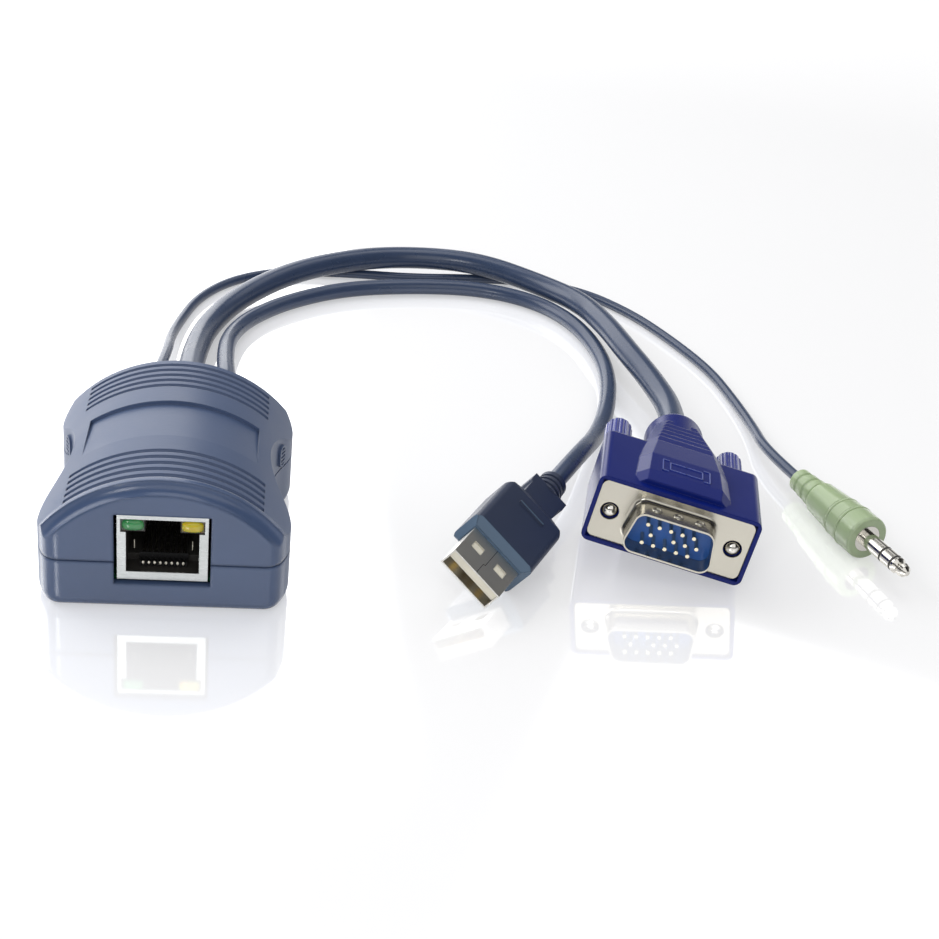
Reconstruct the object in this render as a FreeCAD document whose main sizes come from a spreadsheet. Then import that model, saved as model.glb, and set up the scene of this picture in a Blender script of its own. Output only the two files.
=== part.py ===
# Keyboard, video and mouse module: a waisted two-cover housing with a network jack in front and
# three captive cables at the rear that end in a 15-pin video plug, a USB plug and an audio plug.
#
# Frame: millimetres, +Z up, origin under the middle of the housing on the surface it lies on.
# The jack faces -Y, the cables leave at +Y. Each plug is drawn in a frame of its own, with its
# mating face at the origin and +Y toward its cable, and is then laid down by its Placement.
import math
import os
import re

import FreeCAD
import Part
import Sketcher
from FreeCAD import Placement, Rotation, Vector

doc = FreeCAD.newDocument("kvm_module")
sheet = doc.addObject("Spreadsheet::Sheet", "Sizes")

SIZES = {
    # housing
    "housing_length": 51.6, "housing_width": 45.4, "housing_height": 26.3, "waist_width": 36.8,
    "lobe_radius": 13.0, "lobe_inset": 8.0, "arch_radius": 27.2, "wall": 1.8,
    "seam_height": 10.2, "seam_gap": 0.3, "lip_height": 1.4, "lip_clearance": 0.1,
    "corner_radius": 3.4, "floor_radius": 2.4, "cove_radius": 2.0,
    "groove_count": 5, "groove_pitch": 2.2, "groove_radius": 0.55, "groove_start": 4.0,
    "groove_reach": 17.6, "recess_reach": 16.0, "recess_depth": 0.8, "recess_front": 8.0,
    "recess_rear": 6.4, "latch_offset": 10.2, "latch_width": 2.8, "latch_height": 4.8,
    "latch_lift": 13.2, "latch_rim": 0.5, "latch_rise": 0.45, "latch_ribs": 4,
    # network jack
    "shield_width": 16.1, "shield_height": 13.5, "shield_length": 21.0, "shield_lift": 6.1,
    "shield_setback": 0.9, "shield_wall": 0.3, "jack_gap": 0.5, "mouth_width": 12.9,
    "mouth_height": 8.4, "mouth_lift": 1.7, "mouth_depth": 14.0, "latch_slot_width": 6.2,
    "latch_slot_height": 2.5, "led_width": 4.1, "led_height": 2.2, "led_length": 9.0, "led_drop": 0.65,
    "led_front": 0.2, "window_margin": 0.1, "shelf_height": 1.3, "contact_bend": 0.8,
    "led_inset": 0.45, "led_clearance": 0.05, "contact_count": 8, "contact_pitch": 1.02,
    "contact_width": 0.5, "contact_gauge": 0.35, "contact_rise": 3.2, "contact_run": 9.0,
    # circuit board and what it carries
    "board_thickness": 1.6, "board_clearance": 0.5, "board_rear": 20.0, "boss_radius": 2.6,
    "boss_inset": 6.1, "boss_y": 14.5, "screw_radius": 1.0, "screw_hole_clearance": 0.2,
    "screw_head_radius": 2.0, "screw_head_height": 1.3, "screw_length": 5.0,
    "controller_width": 10.0, "chip_height": 1.5, "driver_width": 5.0, "driver_length": 6.2,
    "driver_spacing": 8.6, "crystal_width": 7.0, "crystal_depth": 4.0, "crystal_height": 3.5,
    "capacitor_radius": 2.0, "capacitor_height": 5.5, "header_depth": 4.5, "header_height": 7.2,
    # cable exits
    "exit_height": 10.2, "audio_exit_x": -7.6, "vga_exit_x": 0.0, "usb_exit_x": 8.6,
    "gland_flange": 1.2, "gland_neck": 1.0, "gland_lip": 0.7, "gland_clearance": 0.1,
    "gland_tail": 5.6, "audio_cable_radius": 1.2, "vga_cable_radius": 2.9,
    "usb_cable_radius": 2.0,
    # video plug
    "vga_hood_width": 32.8, "vga_hood_height": 14.4, "vga_shoulder": 24.0, "vga_rim": 0.5,
    "vga_spine_front": 9.6, "vga_spine_middle": 9.2, "vga_spine_shoulder": 7.8, "vga_spine_rear": 5.4,
    "vga_spine_height": 18.4, "vga_spine_bend": 13.0, "vga_spine_length": 40.5,
    "vga_spine_ramp": 3.0, "vga_bevel_width": 2.2, "vga_bevel_height": 1.7, "vga_tail_radius": 6.5,
    "vga_tail_round": 2.6, "vga_tail_end": 47.5,
    "vga_step_count": 6, "vga_step_drop": 0.5, "vga_step_start": 21.0, "vga_step_ledge": 0.35,
    "vga_edge": 1.6,
    "vga_plate_width": 31.0, "vga_plate_height": 12.6, "vga_plate_thickness": 0.8,
    "vga_plate_corner": 1.6, "vga_screw_pitch": 24.99, "vga_screw_hole": 1.85,
    "vga_shell_width": 18.4, "vga_shell_height": 8.8, "vga_shell_depth": 6.0,
    "vga_shell_corner": 2.3, "vga_shell_slant": 10.0, "vga_shell_wall": 0.4,
    "vga_shell_flare": 0.8, "seat_clearance": 0.05,
    "vga_insert_front": 1.2, "vga_insert_rear": 3.0, "vga_pin_radius": 0.4,
    "vga_pin_pitch": 2.29, "vga_row_pitch": 1.98, "vga_pin_reach": 5.2,
    "knob_radius": 2.95, "knob_length": 18.5, "knob_gap": 0.4, "knob_flutes": 14,
    "flute_radius": 0.42, "flute_start": 2.5, "knob_round": 1.3,
    "thumbscrew_radius": 1.4, "thumbscrew_clearance": 0.3,
    "thumbscrew_reach": 0.4, "thumbscrew_dome": 0.7, "thumbscrew_grip": 9.0,
    # USB plug
    "usb_shell_width": 12.0, "usb_shell_height": 4.5, "usb_shell_wall": 0.3,
    "usb_shell_reach": 8.8, "usb_shell_seat": 7.0, "usb_window_width": 2.5,
    "usb_window_length": 2.0, "usb_window_x": 3.0, "usb_window_y": 5.2,
    "usb_tongue_height": 1.9, "usb_tongue_setback": 0.3, "usb_contact_width": 1.0,
    "usb_contact_start": 0.6,
    "usb_contact_gauge": 0.2, "usb_contact_inner": 1.0, "usb_contact_outer": 3.5,
    "usb_mold_width": 15.4, "usb_mold_height": 8.7, "usb_mold_length": 16.6,
    "usb_mold_corner": 1.6, "usb_neck_width": 7.8, "usb_neck_height": 7.2,
    "usb_neck_length": 8.6, "usb_edge": 1.4, "usb_bevel": 0.6, "usb_lip": 1.5, "usb_taper": 1.2,
    "usb_flange_width": 8.8, "usb_flange_length": 3.0, "usb_rib_depth": 0.35,
    "usb_ridge_height": 0.35, "usb_rib_count": 3,
    "usb_relief_front": 3.9, "usb_relief_rear": 3.0,
    "usb_relief_length": 5.8, "usb_ridge_width": 6.4, "usb_ridge_y": 21.9,
    # audio plug
    "audio_pin_radius": 1.75, "audio_pin_length": 14.0, "audio_tip_length": 3.7,
    "audio_band_length": 2.8, "audio_insulator_length": 0.6, "audio_body_radius": 4.75,
    "audio_body_length": 17.5, "audio_waist_radius": 3.7, "audio_relief_radius": 3.1,
    "audio_relief_end": 2.4, "audio_relief_length": 8.5, "audio_collar_radius": 2.9,
    "audio_collar_depth": 0.9, "audio_stem_length": 6.0, "audio_stem_radius": 1.3, "audio_tip_ball": 1.5,
    "audio_tip_groove": 1.15, "audio_groove_depth": 0.35,
    # the straight run of each cable behind its plug
    "vga_lead": 14.0, "usb_lead": 15.0, "audio_lead": 14.0,
    # where the plugs lie: mating face, heading, pitch and roll
    "vga_x": 96.17, "vga_y": -9.45, "vga_z": 11.74, "vga_yaw": -13.7, "vga_pitch": 9.2,
    "vga_roll": -5.2,
    "usb_x": 56.0, "usb_y": -22.7, "usb_z": 7.38, "usb_yaw": -29.0, "usb_pitch": 35.8,
    "usb_roll": 2.1,
    "audio_x": 140.96, "audio_y": 1.4, "audio_z": 4.9, "audio_yaw": 16.7, "audio_pitch": 0.0,
    "audio_roll": -1.8,
}
for row, (alias, value) in enumerate(SIZES.items(), start=1):
    sheet.set(f"A{row}", alias)
    sheet.set(f"B{row}", str(value))
    sheet.setAlias(f"B{row}", alias)
doc.recompute()

WORD = re.compile(r"[a-z][a-z_]+")


def bound(text):
    """The same formula with each size read from the sheet."""
    return WORD.sub(lambda m: f"Sizes.{m.group(0)}" if m.group(0) in SIZES else m.group(0), str(text))


def number(text):
    """What a formula comes to with the sheet's present sizes."""
    return float(sheet.evalExpression(bound(text).replace("Sizes.", "")))


def bind(feature, name, text):
    feature.setExpression(name, bound(text))


def put(feature, x=0, y=0, z=0):
    for axis, text in zip("xyz", (x, y, z)):
        if str(text) != "0":
            bind(feature, f"Placement.Base.{axis}", text)
    return feature


# --- building blocks ---------------------------------------------------------------------------
def box(name, x, y, z, length, width, height):
    """A block from its low corner; length, width and height run along X, Y and Z."""
    block = doc.addObject("Part::Box", name)
    for prop, text in (("Length", length), ("Width", width), ("Height", height)):
        bind(block, prop, text)
    return put(block, x, y, z)


def rod(name, axis, radius, height, x=0, y=0, z=0):
    """A cylinder that starts at x, y, z and runs along the named axis."""
    turn = {"X": Rotation(Vector(0, 1, 0), 90), "Y": Rotation(Vector(1, 0, 0), -90), "Z": Rotation()}
    cylinder = doc.addObject("Part::Cylinder", name)
    cylinder.Placement = Placement(Vector(), turn[axis])
    bind(cylinder, "Radius", radius)
    bind(cylinder, "Height", height)
    return put(cylinder, x, y, z)


def ring(name, radius, tube, y, z):
    """A torus round an axis along Y."""
    torus = doc.addObject("Part::Torus", name)
    torus.Placement = Placement(Vector(), Rotation(Vector(1, 0, 0), -90))
    bind(torus, "Radius1", radius)
    bind(torus, "Radius2", tube)
    return put(torus, 0, y, z)


PLANES = {
    "XY": Rotation(),
    "XZ": Rotation(Vector(1, 0, 0), 90),
    "YZ": Rotation(Vector(1, 1, 1), 120),
}


def outline(name, plane, corners, arcs=None):
    """A closed sketch through the corners; arcs[i] = (radius, side) bends the edge after corner i.

    A positive side puts the arc's centre to the left of the way the edge runs.
    """
    arcs = arcs or {}
    sketch = doc.addObject("Sketcher::SketchObject", name)
    sketch.Placement = Placement(Vector(), PLANES[plane])
    points = [Vector(number(x), number(y), 0) for x, y in corners]
    up = Vector(0, 0, 1)
    starts, ends = [], []
    for i, start in enumerate(points):
        end = points[(i + 1) % len(points)]
        if i in arcs:
            radius, side = arcs[i]
            chord = end - start
            half = chord.Length / 2
            rise = math.sqrt(max(number(radius) ** 2 - half ** 2, 0.0))
            left = up.cross(chord).normalize()
            centre = (start + end) / 2 + left * rise * side
            first, last = (start, end) if side > 0 else (end, start)
            angles = [math.atan2(p.y - centre.y, p.x - centre.x) for p in (first, last)]
            circle = Part.Circle(centre, up, (start - centre).Length)
            sketch.addGeometry(Part.ArcOfCircle(circle, *angles), False)
            starts.append(1 if side > 0 else 2)
            ends.append(2 if side > 0 else 1)
        else:
            sketch.addGeometry(Part.LineSegment(start, end), False)
            starts.append(1)
            ends.append(2)
    for i, (x, y) in enumerate(corners):
        following = (i + 1) % len(points)
        sketch.addConstraint(Sketcher.Constraint("Coincident", i, ends[i], following, starts[following]))
        for kind, text, value in (("DistanceX", x, points[i].x), ("DistanceY", y, points[i].y)):
            at = sketch.addConstraint(Sketcher.Constraint(kind, -1, 1, i, starts[i], value))
            bind(sketch, f"Constraints[{at}]", text)
        if i in arcs:
            at = sketch.addConstraint(Sketcher.Constraint("Radius", i, number(arcs[i][0])))
            bind(sketch, f"Constraints[{at}]", arcs[i][0])
    return sketch


def extrude(name, sketch, direction, length, x=0, y=0, z=0):
    """The sketch's area carried along a direction."""
    solid = doc.addObject("Part::Extrusion", name)
    solid.Base = sketch
    solid.DirMode = "Custom"
    solid.Dir = direction
    solid.Solid = True
    bind(solid, "LengthFwd", length)
    return put(solid, x, y, z)


def turned(name, corners, arcs=None, x=0, y=0, z=0):
    """A profile of radius against Y, turned round the Y axis."""
    solid = doc.addObject("Part::Revolution", name)
    solid.Source = outline(f"{name}_profile", "XY", corners, arcs)
    solid.Axis = Vector(0, 1, 0)
    solid.Angle = 360
    solid.Solid = True
    return put(solid, x, y, z)


def fused(name, parts):
    union = doc.addObject("Part::MultiFuse", name)
    union.Shapes = parts
    union.Refine = True
    return union


def cut(name, base, *tools):
    """The base with every tool taken away."""
    result = doc.addObject("Part::Cut", name)
    result.Base = base
    result.Tool = tools[0] if len(tools) == 1 else fused(f"{name}_tools", list(tools))
    result.Refine = True
    return result


def common(name, first, second):
    shared = doc.addObject("Part::MultiCommon", name)
    shared.Shapes = [first, second]
    shared.Refine = True
    return shared


def group(name, parts):
    """Like pieces kept as separate solids under one name."""
    compound = doc.addObject("Part::Compound", name)
    compound.Links = parts
    return compound


def rounded(name, base, radius, wanted):
    """The base with each edge that wanted(edge) picks rounded off."""
    doc.recompute()
    fillet = doc.addObject("Part::Fillet", name)
    fillet.Base = base
    size = number(radius)
    fillet.Edges = [(i, size, size) for i, edge in enumerate(base.Shape.Edges, start=1) if wanted(edge)]
    return fillet


NODES = {}


def node(label, feature, pose=None):
    """Keep a finished sub-part under the name that its file gets."""
    feature.Label = label
    if pose is not None:
        feature.Placement = pose
    NODES[label] = feature


def laid(plug):
    """The Placement that lays a plug down."""
    x, y, z = (number(f"{plug}_{axis}") for axis in "xyz")
    yaw, pitch, roll = (number(f"{plug}_{turn}") for turn in ("yaw", "pitch", "roll"))
    return Placement(Vector(x, y, z), Rotation(yaw, pitch, roll))


# --- housing -----------------------------------------------------------------------------------
LOBE_X = "(housing_width / 2 - lobe_radius)"
LOBE_Y = "(housing_length / 2 - lobe_inset)"
WAIST_STEP = f"(waist_width / 2 - {LOBE_X})"
# the scoop at the waist is the arc that meets both lobes without a kink
SCOOP = (f"(({WAIST_STEP}^2 + {LOBE_Y}^2 - lobe_radius^2) / (2 * (lobe_radius - {WAIST_STEP})))")
ARCH_Z = "(housing_height - arch_radius)"
FRONT = "(-housing_length / 2)"


def waisted(name, inset, z, height):
    """The housing's plan, drawn in by an inset, as a block of the given height."""
    inset = f"({inset})"
    reach = f"(lobe_radius - {inset})"
    end_x = f"({LOBE_X} + sqrt({reach}^2 - (lobe_inset - {inset})^2))"
    end_y = f"(housing_length / 2 - {inset})"
    share = f"({reach} / (lobe_radius + {SCOOP}))"
    join_x = f"({LOBE_X} + {share} * ({WAIST_STEP} + {SCOOP}))"
    join_y = f"({LOBE_Y} * (1 - {share}))"
    corners = [
        (f"-{end_x}", f"-{end_y}"), (end_x, f"-{end_y}"), (join_x, f"-{join_y}"), (join_x, join_y),
        (end_x, end_y), (f"-{end_x}", end_y), (f"-{join_x}", join_y), (f"-{join_x}", f"-{join_y}"),
    ]
    scoop = f"({SCOOP} + {inset})"
    arcs = {1: (reach, 1), 2: (scoop, -1), 3: (reach, 1), 5: (reach, 1), 6: (scoop, -1), 7: (reach, 1)}
    sketch = outline(f"{name}_plan", "XY", corners, arcs)
    return extrude(name, sketch, Vector(0, 0, 1), height, z=z)


def on_floor(edge):
    return edge.BoundBox.ZMax < 0.01


def upright_corner(edge):
    box_ = edge.BoundBox
    at_end = abs(abs(box_.YMax) - number("housing_length / 2")) < 0.01
    return at_end and box_.ZLength > 1 and box_.XLength + box_.YLength < 0.01


block = waisted("housing_block", 0, 0, "housing_height + wall")
softened = rounded("housing_corners", block, "corner_radius", upright_corner)
softened = rounded("housing_floor_edge", softened, "floor_radius", on_floor)
arch = rod("arch", "Y", "arch_radius", "housing_length", y=FRONT, z=ARCH_Z)
body = common("housing_body", softened, arch)
inner_arch = rod("inner_arch", "Y", "arch_radius - wall", "housing_length", y=FRONT, z=ARCH_Z)
cavity = common("cavity", waisted("cavity_block", "wall", "wall", "housing_height"), inner_arch)

coves = [ring(f"cove_{end}", "arch_radius", "cove_radius", f"{sign}housing_length / 2", ARCH_Z)
         for end, sign in (("front", "-"), ("rear", ""))]


def groove(name, y):
    """One grip groove across the arch, as long as groove_reach allows."""
    full = ring(f"{name}_ring", "arch_radius", "groove_radius", y, ARCH_Z)
    reach = box(f"{name}_reach", "-groove_reach", f"{y} - 2 * groove_radius", 0,
                "2 * groove_reach", "4 * groove_radius", "2 * housing_height")
    return common(name, full, reach)


grooves = []
for i in range(int(number("groove_count"))):
    offset = f"(housing_length / 2 - groove_start - {i} * groove_pitch)"
    grooves += [groove(f"front_groove_{i}", f"-{offset}"), groove(f"rear_groove_{i}", offset)]

# the label recess is a second arch that dips toward the rear, so its front runs out into the roof
recess_span = "(recess_front + recess_rear)"
dip = math.degrees(math.atan2(number("recess_depth"), number(recess_span)))
dipped = rod("recess_floor", "Y", "arch_radius", "2 * housing_length")
dipped.Placement = Placement(Vector(), Rotation(Vector(1, 0, 0), -90 - dip))
slope = f"(recess_depth / {recess_span})"
put(dipped, 0, "-recess_front - housing_length / 2", f"{ARCH_Z} + housing_length / 2 * {slope}")
recess = cut("label_recess", box("recess_block", "-recess_reach", "-recess_front", "seam_height",
                                 "2 * recess_reach", recess_span, "housing_height"), dipped)

jack_opening = box("jack_opening", "-shield_width / 2 - jack_gap", f"{FRONT} - 1",
                   "shield_lift - jack_gap", "shield_width + 2 * jack_gap", "wall + 2",
                   "shield_height + 2 * jack_gap")

EXITS = {"audio": "audio_exit_x", "vga": "vga_exit_x", "usb": "usb_exit_x"}
exit_holes = [rod(f"{cord}_exit_hole", "Y", f"{cord}_cable_radius + gland_neck + gland_clearance",
                  "wall + 2", x=x, y="housing_length / 2 - wall - 1", z="exit_height")
              for cord, x in EXITS.items()]

shell = cut("housing_shell", body, cavity, *coves, *grooves, recess, jack_opening, *exit_holes)

# latch windows: on each side a raised oval rim round a ribbed pocket, over the seam at the waist
SCOOP_X = f"(waist_width / 2 + {SCOOP})"


def latch(name, side):
    """An oval rim with a ribbed pocket, square to the scoop's wall."""
    angle = math.asin(number("latch_offset") / number(SCOOP))
    rim_x = number(SCOOP_X) - number(SCOOP) * math.cos(angle)
    heading = math.degrees(angle)
    plan = Placement(Vector(side * rim_x, number("latch_offset"), number("latch_lift")),
                     Rotation(Vector(0, 0, 1), side * -heading if side > 0 else 180 + heading))
    half_w, half_h = number("latch_width") / 2, number("latch_height") / 2

    def oval(shrink, low, high):
        width, height = half_w - shrink, half_h - shrink
        straight = height - width
        ends = [Vector(0, y, z) for y, z in (
            (width, -straight), (width, straight), (-width, straight), (-width, -straight))]
        face = Part.Face(Part.Wire([
            Part.LineSegment(ends[0], ends[1]).toShape(),
            Part.Arc(ends[1], Vector(0, 0, height), ends[2]).toShape(),
            Part.LineSegment(ends[2], ends[3]).toShape(),
            Part.Arc(ends[3], Vector(0, 0, -height), ends[0]).toShape(),
        ]))
        face.translate(Vector(low, 0, 0))
        return face.extrude(Vector(high - low, 0, 0))

    rise, rim = number("latch_rise"), number("latch_rim")
    pad = doc.addObject("Part::Feature", f"{name}_pad")
    pad.Shape = oval(0, -number("wall") / 2, rise)
    pocket = oval(rim, -rise, rise + 1)
    gap = (2 * (half_h - rim)) / (2 * number("latch_ribs") + 1)
    for i in range(int(number("latch_ribs"))):
        low = -half_h + rim + gap * (2 * i + 1)
        pocket = pocket.cut(Part.makeBox(2 * rise, 2 * half_w, gap, Vector(-rise, -half_w, low)))
    hollow = doc.addObject("Part::Feature", f"{name}_pocket")
    hollow.Shape = pocket
    for feature in (pad, hollow):
        feature.Placement = plan
    return pad, hollow


latches = [latch("right_latch", 1), latch("left_latch", -1)]

above = box("above_seam", "-housing_width", "-housing_length", "seam_height + seam_gap / 2",
            "2 * housing_width", "2 * housing_length", "housing_height")
below = box("below_seam", "-housing_width", "-housing_length", "-1",
            "2 * housing_width", "2 * housing_length", "1 + seam_height - seam_gap / 2")
rebate = waisted("lip_rebate", "wall / 2", "seam_height - seam_gap",
                 "lip_height + seam_gap + lip_clearance")
roof = fused("roof_with_latches", [common("roof", shell, above)] + [pad for pad, _ in latches])
node("upper_cover", cut("upper_cover_solid", roof, rebate, *[hollow for _, hollow in latches]))

LIP = "(wall / 2 + lip_clearance)"
lip_block = waisted("lip_block", LIP, "seam_height - seam_gap / 2 - 1", "1 + lip_height + seam_gap / 2")
lip = cut("lip_ring", lip_block,
          waisted("lip_core", "wall", "seam_height - 3", "lip_height + 4"), *[
              rod(f"{cord}_lip_hole", "Y", f"{cord}_cable_radius + gland_neck + gland_clearance",
                  "wall + 2", x=x, y="housing_length / 2 - wall - 1", z="exit_height")
              for cord, x in EXITS.items()],
          box("jack_lip_gap", "-shield_width / 2 - jack_gap", f"{FRONT} - 1", "seam_height - 3",
              "shield_width + 2 * jack_gap", "wall + 2", "lip_height + 5"))
BOARD_Z = "(shield_lift - board_thickness)"
BOSS_X = "(housing_width / 2 - boss_inset)"
posts = [(f"{sx}{BOSS_X}", f"{sy}boss_y") for sx in ("-", "") for sy in ("-", "")]
bosses = [rod(f"boss_{i}", "Z", "boss_radius", f"{BOARD_Z} - wall / 2", x=x, y=y, z="wall / 2")
          for i, (x, y) in enumerate(posts)]
tub = fused("tub", [common("floor_shell", shell, below), lip] + bosses)
threads = [rod(f"boss_hole_{i}", "Z", "screw_radius", f"screw_length - board_thickness + 1", x=x, y=y,
               z="shield_lift - screw_length") for i, (x, y) in enumerate(posts)]
node("lower_cover", cut("lower_cover_solid", tub, *threads))

# --- network jack ------------------------------------------------------------------------------
SHIELD_Y = f"({FRONT} + shield_setback)"
IN_W = "(shield_width - 2 * shield_wall)"
IN_H = "(shield_height - 2 * shield_wall)"
shield_block = box("shield_block", "-shield_width / 2", SHIELD_Y, "shield_lift",
                   "shield_width", "shield_length", "shield_height")
shield_core = box("shield_core", f"-{IN_W} / 2", f"{SHIELD_Y} + shield_wall", "shield_lift + shield_wall",
                  IN_W, "shield_length - 2 * shield_wall", IN_H)
MOUTH_Z = "(shield_lift + mouth_lift)"
LED_Z = "(shield_lift + shield_height - shield_wall - led_height - led_drop)"
plug_mouth = box("plug_mouth", "-mouth_width / 2", f"{SHIELD_Y} - 1", MOUTH_Z,
                 "mouth_width", "mouth_depth + 1", "mouth_height")
tab_mouth = box("tab_mouth", "-latch_slot_width / 2", f"{SHIELD_Y} - 1",
                f"{MOUTH_Z} + mouth_height - 0.5", "latch_slot_width", "mouth_depth + 1",
                "latch_slot_height + 0.5")
led_bays = [box(f"led_bay_{i}", x, f"{SHIELD_Y} - 1", LED_Z, "led_width", "led_length + 1", "led_height")
            for i, x in enumerate((f"-{IN_W} / 2 + led_inset", f"{IN_W} / 2 - led_inset - led_width"))]
WINDOW_REACH = f"({IN_W} / 2 - led_inset + window_margin)"
window = box("window", f"-{WINDOW_REACH}", f"{SHIELD_Y} - 1", f"{MOUTH_Z} + mouth_height - window_margin",
             f"2 * {WINDOW_REACH}", "1 + 2 * shield_wall",
             f"{LED_Z} + led_height - {MOUTH_Z} - mouth_height + 2 * window_margin")
node("jack_shield", cut("jack_shield_solid", shield_block, shield_core, plug_mouth, tab_mouth, window))

insulator_block = box("insulator_block", f"-{IN_W} / 2", f"{SHIELD_Y} + shield_wall",
                      "shield_lift + shield_wall", IN_W, "shield_length - 2 * shield_wall", IN_H)
CONTACT_Y = f"({SHIELD_Y} + mouth_depth - contact_run - 1.2)"
SHELF_Z = f"({MOUTH_Z} + shelf_height)"
shelf = box("shelf", "-mouth_width", f"{CONTACT_Y} + contact_gauge", f"{MOUTH_Z} - 1",
            "2 * mouth_width", "mouth_depth", "shelf_height + 1")
mouth_over_shelf = cut("mouth_over_shelf", plug_mouth, shelf)
node("jack_insulator",
     cut("jack_insulator_solid", insulator_block, mouth_over_shelf, tab_mouth, *led_bays))

for i, colour in enumerate(("green", "yellow")):
    x = (f"-{IN_W} / 2 + led_inset", f"{IN_W} / 2 - led_inset - led_width")[i]
    lens = box(f"led_{colour}_solid", f"{x} + led_clearance", f"{SHIELD_Y} + led_front", LED_Z,
               "led_width - 2 * led_clearance", "led_length - led_front", "led_height - led_clearance")
    node(f"led_{colour}", lens)

contact_corners = [
    (CONTACT_Y, f"{SHELF_Z} - contact_bend"),
    (f"{CONTACT_Y} + contact_gauge", f"{SHELF_Z} - contact_bend"),
    (f"{CONTACT_Y} + contact_gauge", SHELF_Z),
    (f"{CONTACT_Y} + contact_run", f"{MOUTH_Z} + contact_rise"),
    (f"{CONTACT_Y} + contact_run", f"{MOUTH_Z} + contact_rise + contact_gauge"),
    (f"{CONTACT_Y} + contact_gauge", f"{SHELF_Z} + contact_gauge"), (CONTACT_Y, SHELF_Z),
]
contact_sketch = outline("contact_profile", "YZ", contact_corners)
contacts = [extrude(f"contact_{i}", contact_sketch, Vector(1, 0, 0), "contact_width",
                    x=f"({i} - (contact_count - 1) / 2) * contact_pitch - contact_width / 2")
            for i in range(int(number("contact_count")))]
node("jack_contacts", group("jack_contact_set", contacts))

# --- circuit board -----------------------------------------------------------------------------
board_plan = waisted("board_block", "wall + board_clearance", BOARD_Z, "board_thickness")
board_trim = box("board_trim", "-housing_width", "-housing_length", 0,
                 "2 * housing_width", "housing_length + board_rear", "housing_height")
board_holes = [rod(f"board_hole_{i}", "Z", "screw_radius + screw_hole_clearance", "board_thickness + 2",
                   x=x, y=y, z=f"{BOARD_Z} - 1") for i, (x, y) in enumerate(posts)]
node("circuit_board", cut("board_solid", common("board_plan", board_plan, board_trim), *board_holes))

screws = []
for i, (x, y) in enumerate(posts):
    head = rod(f"screw_head_{i}", "Z", "screw_head_radius", "screw_head_height", x=x, y=y,
               z="shield_lift")
    shank = rod(f"screw_shank_{i}", "Z", "screw_radius", "screw_length", x=x, y=y,
                z="shield_lift - screw_length")
    screws.append(fused(f"screw_{i}", [head, shank]))
node("board_screws", group("board_screw_set", screws))

BEHIND_JACK = f"({SHIELD_Y} + shield_length)"
HEADER_Y = "(housing_length / 2 - wall - gland_flange - 5 - header_depth)"
controller_y = f"({BEHIND_JACK} + 1)"
node("controller_chip", box("controller_solid", "-controller_width / 2", controller_y, "shield_lift",
                            "controller_width", "controller_width", "chip_height"))
drivers = [box(f"driver_{i}", f"{sign}driver_spacing - driver_width / 2", controller_y, "shield_lift",
               "driver_width", "driver_length", "chip_height") for i, sign in enumerate(("-", ""))]
node("video_driver_chips", group("driver_set", drivers))
node("crystal", box("crystal_solid", "-shield_width / 2 - crystal_depth - 1",
                    f"{BEHIND_JACK} - crystal_width - 1.5", "shield_lift",
                    "crystal_depth", "crystal_width", "crystal_height"))
capacitors = [rod(f"capacitor_{i}", "Z", "capacitor_radius", "capacitor_height",
                  x="shield_width / 2 + capacitor_radius + 1",
                  y=f"{BEHIND_JACK} - 2 - {i} * (2 * capacitor_radius + 1)", z="shield_lift")
              for i in range(2)]
node("capacitors", group("capacitor_set", capacitors))
headers = [box(f"{cord}_header", f"{x} - {cord}_cable_radius - 0.8", HEADER_Y, "shield_lift",
               f"2 * {cord}_cable_radius + 1.6", "header_depth", "header_height")
           for cord, x in EXITS.items()]
node("cable_headers", group("header_set", headers))

# --- cable glands and cables -------------------------------------------------------------------
WALL_IN = "(housing_length / 2 - wall)"
for cord, x in EXITS.items():
    bore = f"{cord}_cable_radius"
    neck = f"({bore} + gland_neck)"
    flange = f"({neck} + gland_lip)"
    back = f"({WALL_IN} - gland_clearance)"
    out = "(housing_length / 2 + gland_clearance)"
    node(f"{cord}_gland", turned(f"{cord}_gland_solid", [
        (bore, f"{back} - gland_flange"), (flange, f"{back} - gland_flange"), (flange, back),
        (neck, back), (neck, out), (f"{flange} - 0.2", out), (f"{flange} - 0.2", f"{out} + 1"),
        (f"{bore} + 0.6", f"{out} + gland_tail"), (bore, f"{out} + gland_tail"),
    ], x=x, z="exit_height"))

HEADER_REAR = number(f"{HEADER_Y} + header_depth")
VGA_END = laid("vga").multVec(Vector(0, number("vga_tail_end"), 0))
USB_REAR = "(usb_shell_reach + usb_mold_length + usb_neck_length + usb_relief_length)"
USB_END = laid("usb").multVec(Vector(0, number(USB_REAR), 0))
AUDIO_END = laid("audio").multVec(Vector(0, number("audio_body_length + audio_relief_length"), 0))


def before(plug, end):
    """The route's last corner, straight behind a plug."""
    return end + laid(plug).Rotation.multVec(Vector(0, number(f"{plug}_lead"), 0))


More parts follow.
